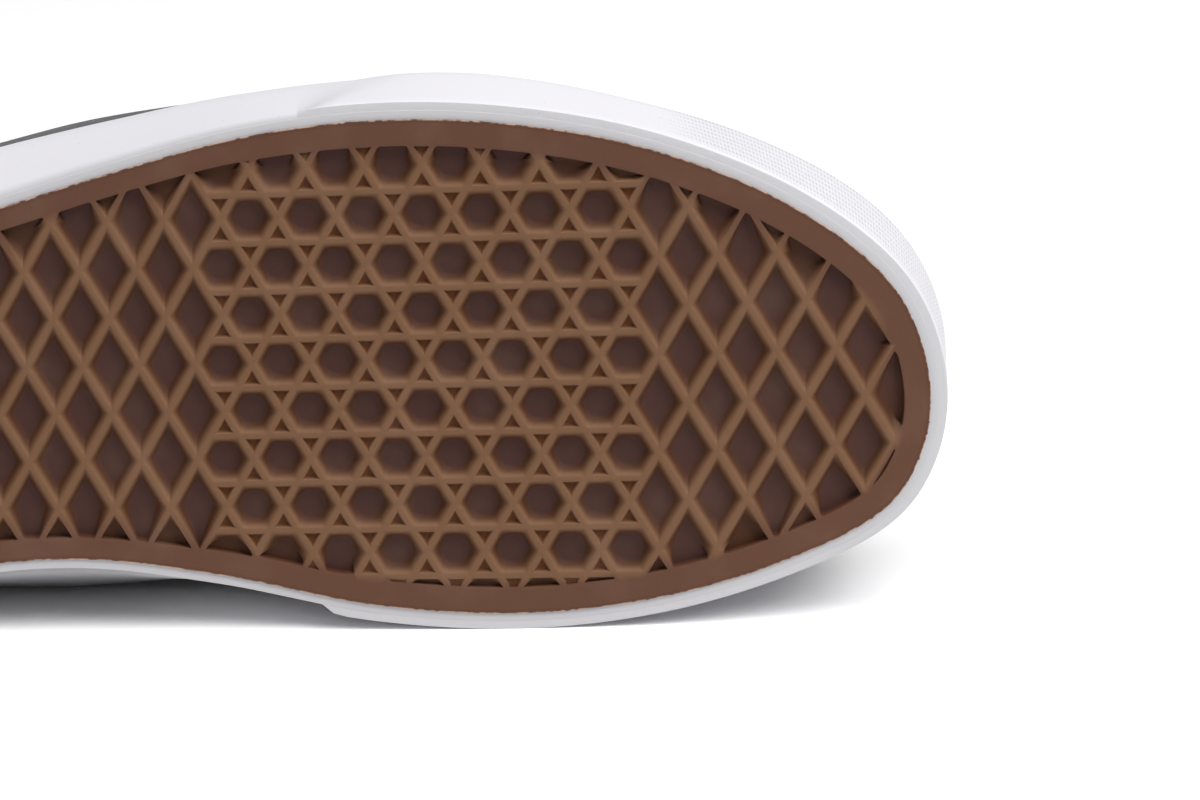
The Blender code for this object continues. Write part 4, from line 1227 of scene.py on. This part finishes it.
class SHOE_OT_eyestay(bpy.types.Operator):
    """Cuts the suede facing for the eyelets"""

    bl_idname = "shoe.eyestay"
    bl_label = "Eyestay"

    def execute(self, context):
        medial = spread(EYESTAY_FIRST_STATION, THROAT_STATION, 36) + nose_stations(EYESTAY_WIDTH)
        grid = []
        for station in medial + [LOOP - s for s in reversed(medial)]:
            foot = eyestay_foot(station, EYESTAY_WIDTH)
            grid.append([(station, v) for v in spread(foot, 1.0, 8)])
        panel("lace_facing", grid, ["eyestay"], open_top=[opening(row[0][0]) > 0 for row in grid])
        return {"FINISHED"}


class SHOE_OT_collar(bpy.types.Operator):
    """Pads the collar and binds its edge"""

    bl_idname = "shoe.collar"
    bl_label = "Collar"

    def execute(self, context):
        back = -(UPPER_WALL + GAP * 0.5)
        stations = spread(-COLLAR_END_STATION, COLLAR_END_STATION, 80)
        outer, inner = [], []
        for station in stations:
            ends = 1 - 0.6 * (abs(station) / COLLAR_END_STATION) ** 6
            row, rear = [], []
            for k in range(17):
                share = between(PAD_FOOT, 1.0, k / 16)
                fullness = math.sin(math.pi * (0.12 + 0.70 * k / 16)) * ends
                pucker = 0.0002 * math.sin(station * 9.0) * math.sin(math.pi * k / 16)
                row.append(over_skin(station, share, back - COLLAR_PAD * fullness - pucker))
                rear.append(over_skin(station, share, back))
            outer.append(row)
            inner.append(rear)
        pad = layer("collar_cushion", outer, inner, "lining_mesh", ["collar_pad"], sharp=60)
        soften_edges(pad, 0.0008, 3)
        sections = []
        for station in spread(-EYESTAY_FIRST_STATION - 0.1, EYESTAY_FIRST_STATION + 0.1, 120):
            thick = BINDING_THICKNESS + COLLAR_PAD * 0.45 * (1 - smooth_share(abs(station), 4.4, 5.2))
            normal, top = skin_normal(station, 1.0), skin_point(station, 1.0)
            up = (top - skin_point(station, 0.95)).normalized()
            half = (UPPER_WALL + thick + 0.0007) / 2
            centre = top + normal * (0.0005 - half)
            section = [centre + normal * half - up * BINDING_LEGS]
            for k in range(9):
                angle = math.pi * k / 8
                section.append(centre + normal * half * math.cos(angle) + up * BINDING_THICKNESS * math.sin(angle))
            section.append(centre - normal * half - up * BINDING_LEGS)
            sections.append(section)
        swept("collar_binding", sections, "brushed_suede", sharp=70)
        return {"FINISHED"}


def arch(start, end, rise, steps):
    """Points of a curve from start to end that rises in its middle, with both ends."""
    third = (end - start) / 3
    lift = Vector((0, 0, rise / 0.75))
    return [bezier(start, start + third + lift, end - third + lift, end, v) for v in spread(0.0, 1.0, steps)]


def tongue_line(station, depth, shares, arch_steps):
    """One line across the tongue, from under one wall to under the other."""
    medial = [over_skin(station, v, -depth) for v in shares]
    lateral = [over_skin(LOOP - station, v, -depth) for v in reversed(shares)]
    if opening(station) == 0.0:
        over = [(medial[-1] + lateral[0]) / 2] * (arch_steps + 1)
    else:
        over = arch(medial[-1], lateral[0], TONGUE_CROWN * opening(station), arch_steps)
    return medial[:-1] + over + lateral[1:]


class SHOE_OT_tongue(bpy.types.Operator):
    """Pads the tongue under the laces"""

    bl_idname = "shoe.tongue"
    bl_label = "Tongue"

    def execute(self, context):
        shares = spread(TONGUE_FOOT, 1.0, 4)
        depths = (UPPER_WALL + TONGUE_GAP, UPPER_WALL + TONGUE_GAP + TONGUE_THICKNESS)
        lines, steps = [], 36
        for station in spread(TONGUE_LAST_STATION, TONGUE_FIRST_STATION, steps):
            lines.append([tongue_line(station, depth, shares, 10) for depth in depths])
        middle = len(lines[-1][0]) // 2
        way = (lines[-1][0][middle] - lines[-3][0][middle]).normalized()
        way = (way + Vector((0, 0, 0.35))).normalized()
        end_steps = len(lines[-1][0]) - 1
        tops = [tongue_line(TONGUE_FIRST_STATION, depth, (1.0,), end_steps) for depth in depths]
        centre = (tops[0][end_steps // 2] + tops[1][end_steps // 2]) / 2
        middle_line = [(a + b) / 2 for a, b in zip(*tops)]
        for share, width in TONGUE_END:
            shift = way * TONGUE_TOP * share
            thin = 1 - 0.45 * smooth_share(share, 0.8, 1.0)
            line = []
            for top in tops:
                thinned = [m + (p - m) * thin for p, m in zip(top, middle_line)]
                line.append([centre + (p - centre) * Vector((1, width, width)) + shift for p in thinned])
            lines.append(line)
        outer, inner = [line[0] for line in lines], [line[1] for line in lines]
        piece = layer("tongue_body", outer, inner, "canvas_weave", ["tongue"], sharp=60)
        soften_edges(piece, 0.0014, 4)
        rim = [0.5 * (a[0] + b[0]) for a, b in zip(outer[steps:], inner[steps:])]
        rim += [0.5 * (a + b) for a, b in zip(outer[-1], inner[-1])][1:-1]
        rim += [0.5 * (a[-1] + b[-1]) for a, b in zip(reversed(outer[steps:]), reversed(inner[steps:]))]
        sections = []
        for k, spot in enumerate(rim):
            ahead = heading(rim, k)
            over = ahead.cross(way.cross(ahead)) if abs(ahead.dot(way)) < 0.7 else way.cross(Vector((0, 1, 0)))
            over = (over - ahead * over.dot(ahead)).normalized()
            aside = ahead.cross(over)
            ring = []
            for j in range(10):
                angle = 2 * math.pi * j / 10
                wide, high = TONGUE_BINDING * math.cos(angle), TONGUE_BINDING * math.sin(angle)
                ring.append(spot + over * wide + aside * high)
            sections.append(ring)
        swept("tongue_binding", sections, "brushed_suede", sharp=70)
        return {"FINISHED"}


class Recipe(Graph):
    """A Geometry Nodes tree being made, with named inputs, and its use on a mesh of guide points."""

    prefix = "GeometryNode"

    def __init__(self, name, numbers):
        super().__init__(bpy.data.node_groups.new(name, "GeometryNodeTree"))
        self.tree.interface.new_socket("Geometry", in_out="INPUT", socket_type="NodeSocketGeometry")
        self.tree.interface.new_socket("Geometry", in_out="OUTPUT", socket_type="NodeSocketGeometry")
        self.keys = {}
        for key in (*numbers, "Material"):
            kind = "NodeSocketMaterial" if key == "Material" else "NodeSocketFloat"
            self.keys[key] = self.tree.interface.new_socket(key, in_out="INPUT", socket_type=kind).identifier
        self.given = self.tree.nodes.new("NodeGroupInput")

    def asked(self, name):
        return Value(self, self.given.outputs[name])

    def outwards(self):
        """The direction out of the skin that is kept on the guide's points."""
        return self.node("InputNamedAttribute", {"data_type": "FLOAT_VECTOR"}, {"Name": "out"})

    def finish(self, points, shape, turn):
        """Ends the tree: a copy of a shape on each point, made real, smooth and given its material."""
        copies = self.node("InstanceOnPoints", inputs={"Points": points, "Instance": shape, "Rotation": turn})
        real = self.node("RealizeInstances", inputs={"Geometry": copies})
        smooth = self.node("SetShadeSmooth", inputs={"Geometry": real})
        painted = self.node("SetMaterial", inputs={"Geometry": smooth, "Material": self.asked("Material")})
        self.node("NodeGroupOutput", inputs={0: painted})

    def grow(self, name, guide, values):
        """Runs the tree on a guide mesh and gives the plain mesh that it makes."""
        holder = bpy.data.objects.new(name + "_guide", guide)
        bpy.context.scene.collection.objects.link(holder)
        modifier = holder.modifiers.new("recipe", "NODES")
        modifier.node_group = self.tree
        for key, value in values.items():
            modifier[self.keys[key]] = value
        bpy.context.view_layer.update()
        seen = holder.evaluated_get(bpy.context.evaluated_depsgraph_get())
        mesh = bpy.data.meshes.new_from_object(seen)
        mesh.name = name
        holder.modifiers.remove(modifier)
        bpy.data.objects.remove(holder)
        return mesh


def guide_mesh(name, rows):
    """Guide points in rows, each with its direction out of the skin."""
    points, edges, outs = [], [], []
    for row in rows:
        first = len(points)
        points += [LAID @ p for p, _ in row]
        outs += [LAID.to_3x3() @ n for _, n in row]
        edges += [(first + k, first + k + 1) for k in range(len(row) - 1)]
    mesh = bpy.data.meshes.new(name)
    mesh.from_pydata([tuple(p) for p in points], edges, [])
    kept = mesh.attributes.new("out", "FLOAT_VECTOR", "POINT")
    kept.data.foreach_set("vector", np.array([tuple(n) for n in outs], dtype=np.float32).ravel())
    return mesh


def stitch_recipe():
    recipe = Recipe("stitch_row", ("Stitch Length", "Stitch Gap", "Thread Width"))
    length, width = recipe.asked("Stitch Length"), recipe.asked("Thread Width")
    line = recipe.node("MeshToCurve", inputs={0: recipe.asked("Geometry")})
    inputs = {"Curve": line, "Length": length + recipe.asked("Stitch Gap")}
    dots = recipe.node("ResampleCurve", {"mode": "LENGTH"}, inputs)
    stitch = recipe.node("MeshUVSphere", inputs={"Segments": 6, "Rings": 5, "Radius": 0.5})
    size = recipe.node("ShaderNodeCombineXYZ", inputs={0: length, 1: width, 2: width * 0.8})
    stitch = recipe.node("Transform", inputs={"Geometry": stitch, "Scale": size})
    along = recipe.node("InputTangent")
    out = recipe.outwards()
    turn = recipe.node("FunctionNodeAlignRotationToVector", {"axis": "X"}, {"Vector": along})
    settings = {"axis": "Z", "pivot_axis": "X"}
    turn = recipe.node("FunctionNodeAlignRotationToVector", settings, {"Rotation": turn, "Vector": out})
    recipe.finish(dots, stitch, turn)
    return recipe


def eyelet_recipe():
    recipe = Recipe("eyelet_ring", ("Hole Radius", "Ring Radius"))
    hole, ring = recipe.asked("Hole Radius"), recipe.asked("Ring Radius")
    path = recipe.node("CurvePrimitiveCircle", inputs={"Resolution": 36, "Radius": (hole + ring) / 2})
    bead = recipe.node("CurvePrimitiveCircle", inputs={"Resolution": 12, "Radius": (ring - hole) / 2})
    tube = recipe.node("CurveToMesh", inputs={"Curve": path, "Profile Curve": bead})
    tube = recipe.node("Transform", inputs={"Geometry": tube, "Scale": (1.0, 1.0, 0.85)})
    out = recipe.outwards()
    turn = recipe.node("FunctionNodeAlignRotationToVector", {"axis": "Z"}, {"Vector": out})
    recipe.finish(recipe.asked("Geometry"), tube, turn)
    return recipe


def eyelet_stations():
    return spread(EYELET_FIRST, EYELET_LAST, EYELET_ROWS - 1)


class SHOE_OT_eyelets(bpy.types.Operator):
    """Sets the twelve eyelets in the facing"""

    bl_idname = "shoe.eyelets"
    bl_label = "Eyelets"

    def execute(self, context):
        height = GAP + OVERLAY_THICKNESS + 0.0002
        row, nodes = [], []
        for number, station in enumerate(eyelet_stations(), 1):
            for side, place in (("medial", station), ("lateral", LOOP - station)):
                share = share_from_top(place, EYELET_INSET)
                row.append((over_skin(place, share, height), skin_normal(place, share)))
                nodes.append(f"eyelet_{side}_{number}")
        guide = guide_mesh("eyelet_places", [[spot] for spot in row])
        values = {"Hole Radius": EYELET_HOLE, "Ring Radius": EYELET_RADIUS, "Material": paint_for("dark_metal")}
        mesh = eyelet_recipe().grow("eyelet_rings", guide, values)
        piece_of("eyelet_rings", mesh, nodes)
        return {"FINISHED"}


def smooth_path(path, steps):
    """More points on a smooth curve through the path."""
    found = []
    for k in range(len(path) - 1):
        places = path[max(0, k - 1)], path[k], path[k + 1], path[min(len(path) - 1, k + 2)]
        found += [through(*places, j / steps) for j in range(steps)]
    return found + [path[-1]]


class SHOE_OT_laces(bpy.types.Operator):
    """Laces the shoe with flat bars from eyelet to eyelet"""

    bl_idname = "shoe.laces"
    bl_label = "Laces"

    def execute(self, context):
        sizes = context.scene.shoe_sizes
        top = GAP + OVERLAY_THICKNESS
        for number, station in enumerate(eyelet_stations(), 1):
            sides = []
            for place in (station, LOOP - station):
                line = []
                for gone, height in LACE_STOPS:
                    share = share_from_top(place, EYELET_INSET - gone) if gone < EYELET_INSET else 1.0
                    line.append(over_skin(place, share, top + height))
                sides.append(line)
            medial, lateral = sides
            tongue = tongue_line(station, UPPER_WALL + TONGUE_GAP, (1.0,), 2)[1].z
            rise = tongue + LACE_OVER_TONGUE - (medial[-1].z + lateral[-1].z) / 2
            bridge = arch(medial[-1], lateral[-1], rise, 6)
            path = smooth_path(medial[:-1] + bridge + lateral[-2::-1], 5)
            across = top_point(station + 0.2) - top_point(station - 0.2)
            across.y = 0
            gone = lengths_along(path)
            sections = []
            for k, spot in enumerate(path):
                ahead = heading(path, k)
                side = (across - ahead * across.dot(ahead)).normalized()
                up = ahead.cross(side)
                up = up if up.z > 0 else -up
                from_end = min(gone[k], gone[-1] - gone[k])
                spreading = smooth_share(from_end, 0.001, 0.008)
                wide = sizes.lace_width * between(0.42, 1.0, spreading) / 2
                thick = sizes.lace_thickness * between(1.35, 1.0, spreading)
                section = []
                for j in range(14):
                    angle = 2 * math.pi * j / 14
                    flat = math.copysign(abs(math.cos(angle)) ** 0.55, math.cos(angle))
                    crown = math.sin(angle) * 0.5 + 0.5
                    section.append(spot + side * wide * flat + up * thick * crown)
                sections.append(section)
            swept(f"lace_{number}", sections, "lace_weave", [f"lace_bar_{number}"], sharp=60)
        return {"FINISHED"}


def skin_row(places, height):
    """A guide row for stitches through places on the skin."""
    return [(over_skin(s, v, height), skin_normal(s, min(v, 0.985))) for s, v in places]


def facing_row(width, height):
    """Two guide rows along the eyestay at a width from the throat, meeting on the ridge."""
    stations = spread(EYESTAY_FIRST_STATION + 0.05, THROAT_STATION, FACING_STEPS)
    medial = [(s, eyestay_foot(s, width)) for s in stations]
    medial += [(s, eyestay_foot(s, width)) for s in nose_stations(width)]
    lateral = [(LOOP - s, v) for s, v in reversed(medial)]
    return skin_row(medial + lateral, height)


class SHOE_OT_stitching(bpy.types.Operator):
    """Sews the rows of stitches along the panels"""

    bl_idname = "shoe.stitching"
    bl_label = "Stitching"

    def execute(self, context):
        on_panel, on_canvas = GAP + OVERLAY_THICKNESS + THREAD_LIFT, THREAD_LIFT
        rows = []
        for inset in STITCH_INSETS:
            line = []
            for share in spread(OVERLAY_FOOT + 0.02, 1.0, 30):
                medial, lateral = toe_cap_line(share)
                shift = inset / (skin_point(medial + 0.5, share) - skin_point(medial - 0.5, share)).length
                line.append(((medial + shift, share), (lateral - shift, share)))
            rows.append(skin_row([a for a, _ in line] + [b for _, b in reversed(line)][1:], on_panel))
        for inset in STITCH_INSETS:
            line = []
            for station in spread(-COUNTER_STATION + 0.12, COUNTER_STATION - 0.12, 90):
                height = (skin_point(station, 1.0) - skin_point(station, 0.0)).length
                line.append((station, max(OVERLAY_FOOT, counter_top(station) - inset / height)))
            rows.append(skin_row(line, on_panel))
        rows += [facing_row(EYESTAY_WIDTH - inset, on_panel) for inset in STITCH_INSETS]
        throat = facing_row(THROAT_STITCH_INSET, on_panel)
        rows += [throat[: FACING_STEPS + 1], throat[-FACING_STEPS - 1 :]]
        stations = spread(-EYESTAY_FIRST_STATION, EYESTAY_FIRST_STATION, 160)
        rows.append(skin_row([(s, share_from_top(s, COLLAR_STITCH_INSET)) for s in stations], on_canvas))
        for side in (*SIDE_SEAM, *(LOOP - s for s in SIDE_SEAM)):
            high = share_from_top(side, EYESTAY_WIDTH + 0.0004)
            shares = spread(0.03, high, 30)
            lean = 0.35 if side < TOE_STATION else -0.35
            rows.append(skin_row([(side + lean * (1 - v), v) for v in shares], on_canvas))
        sizes = context.scene.shoe_sizes
        values = {
            "Stitch Length": sizes.stitch_length,
            "Stitch Gap": sizes.stitch_gap,
            "Thread Width": sizes.thread_width,
            "Material": paint_for("sewing_thread"),
        }
        mesh = stitch_recipe().grow("stitch_rows", guide_mesh("stitch_guides", rows), values)
        piece_of("stitch_rows", mesh)
        return {"FINISHED"}


def soft_light(name, place, target, power):
    light = bpy.data.lights.new(name, "AREA")
    light.shape, light.size, light.energy = "DISK", LIGHT_SIZE, power
    light.spread = math.radians(LIGHT_SPREAD)
    made = bpy.data.objects.new(name, light)
    made.location = place
    made.rotation_mode = "QUATERNION"
    made.rotation_quaternion = (Vector(target) - Vector(place)).to_track_quat("-Z", "Y")
    bpy.context.scene.collection.objects.link(made)


class SHOE_OT_stage(bpy.types.Operator):
    """Sets up the pale floor, the soft light and the photograph's camera"""

    bl_idname = "shoe.stage"
    bl_label = "Stage"

    def execute(self, context):
        scene, sizes = context.scene, context.scene.shoe_sizes
        turned, raised, roll = (math.radians(a) for a in (CAMERA_TURNED, CAMERA_RAISED, CAMERA_ROLL))
        back = Vector((math.sin(turned), -math.cos(turned) * math.sin(raised), -math.cos(turned) * math.cos(raised)))
        lateral = Vector((0, -1, 0))
        up = (lateral - back * lateral.dot(back)).normalized()
        right = up.cross(back)
        right, up = (
            right * math.cos(roll) + up * math.sin(roll),
            up * math.cos(roll) - right * math.sin(roll),
        )
        lens = bpy.data.cameras.new("photo_camera")
        lens.sensor_width, lens.lens = CAMERA_SENSOR, CAMERA_LENS
        lens.clip_start, lens.clip_end = 0.01, 50
        camera = bpy.data.objects.new("photo_camera", lens)
        turn = Matrix((right, up, back)).transposed().to_4x4()
        place = Matrix.Translation(Vector(CAMERA_TARGET) + back * CAMERA_DISTANCE)
        camera.matrix_world = LAID @ place @ turn
        scene.collection.objects.link(camera)
        scene.camera = camera

        ground = bmesh.new()
        bmesh.ops.create_circle(ground, cap_ends=True, cap_tris=False, segments=96, radius=FLOOR_RADIUS)
        mesh = bpy.data.meshes.new("studio_floor")
        ground.to_mesh(mesh)
        ground.free()
        paint = Paint("studio_floor")
        tint = paint.mix(paint.noise(0.4, 2.0) * 0.08, scene.shoe_colours.floor, (0.87, 0.87, 0.88))
        mesh.materials.append(paint.surface(tint, 0.75, Specular_IOR_Level=0.2))
        floor = bpy.data.objects.new("studio_floor", mesh)
        scene.collection.objects.link(floor)

        world = bpy.data.worlds.new("studio")
        world.use_nodes = True
        sky = Graph(world.node_tree)
        world.node_tree.nodes.clear()
        glow = sky.node("Background", inputs={"Color": (1, 1, 1), "Strength": sizes.sky_strength})
        sky.node("OutputWorld", inputs={"Surface": glow})
        scene.world = world
        for name, (place, target) in LIGHTS.items():
            soft_light(name + "_light", place, target, getattr(sizes, name + "_power"))
        scene.view_settings.view_transform = "Standard"
        return {"FINISHED"}


OPERATORS = (
    SHOE_OT_stage,
    SHOE_OT_outsole,
    SHOE_OT_foxing,
    SHOE_OT_toe_bumper,
    SHOE_OT_insole,
    SHOE_OT_upper,
    SHOE_OT_toe_cap,
    SHOE_OT_heel_counter,
    SHOE_OT_eyestay,
    SHOE_OT_collar,
    SHOE_OT_tongue,
    SHOE_OT_eyelets,
    SHOE_OT_laces,
    SHOE_OT_stitching,
)


class SHOE_PT_panel(bpy.types.Panel):
    """Lists the shoe's pieces, sizes and colours"""

    bl_label = "Skateboarding Shoe"
    bl_idname = "SHOE_PT_panel"
    bl_space_type = "VIEW_3D"
    bl_region_type = "UI"
    bl_category = "Shoe"

    def draw(self, context):
        for made in OPERATORS:
            self.layout.operator(made.bl_idname)
        for group in (context.scene.shoe_sizes, context.scene.shoe_colours):
            box = self.layout.box()
            for name in group.__annotations__:
                box.prop(group, name)


CLASSES = (ShoeSizes, ShoeColours, *OPERATORS, SHOE_PT_panel)


def register():
    for made in CLASSES:
        bpy.utils.register_class(made)
    bpy.types.Scene.shoe_sizes = PointerProperty(type=ShoeSizes)
    bpy.types.Scene.shoe_colours = PointerProperty(type=ShoeColours)


def unregister():
    del bpy.types.Scene.shoe_colours
    del bpy.types.Scene.shoe_sizes
    for made in reversed(CLASSES):
        bpy.utils.unregister_class(made)


def main():
    register()
    for made in OPERATORS:
        group, name = made.bl_idname.split(".")
        getattr(getattr(bpy.ops, group), name)()


if __name__ == "__main__":
    main()
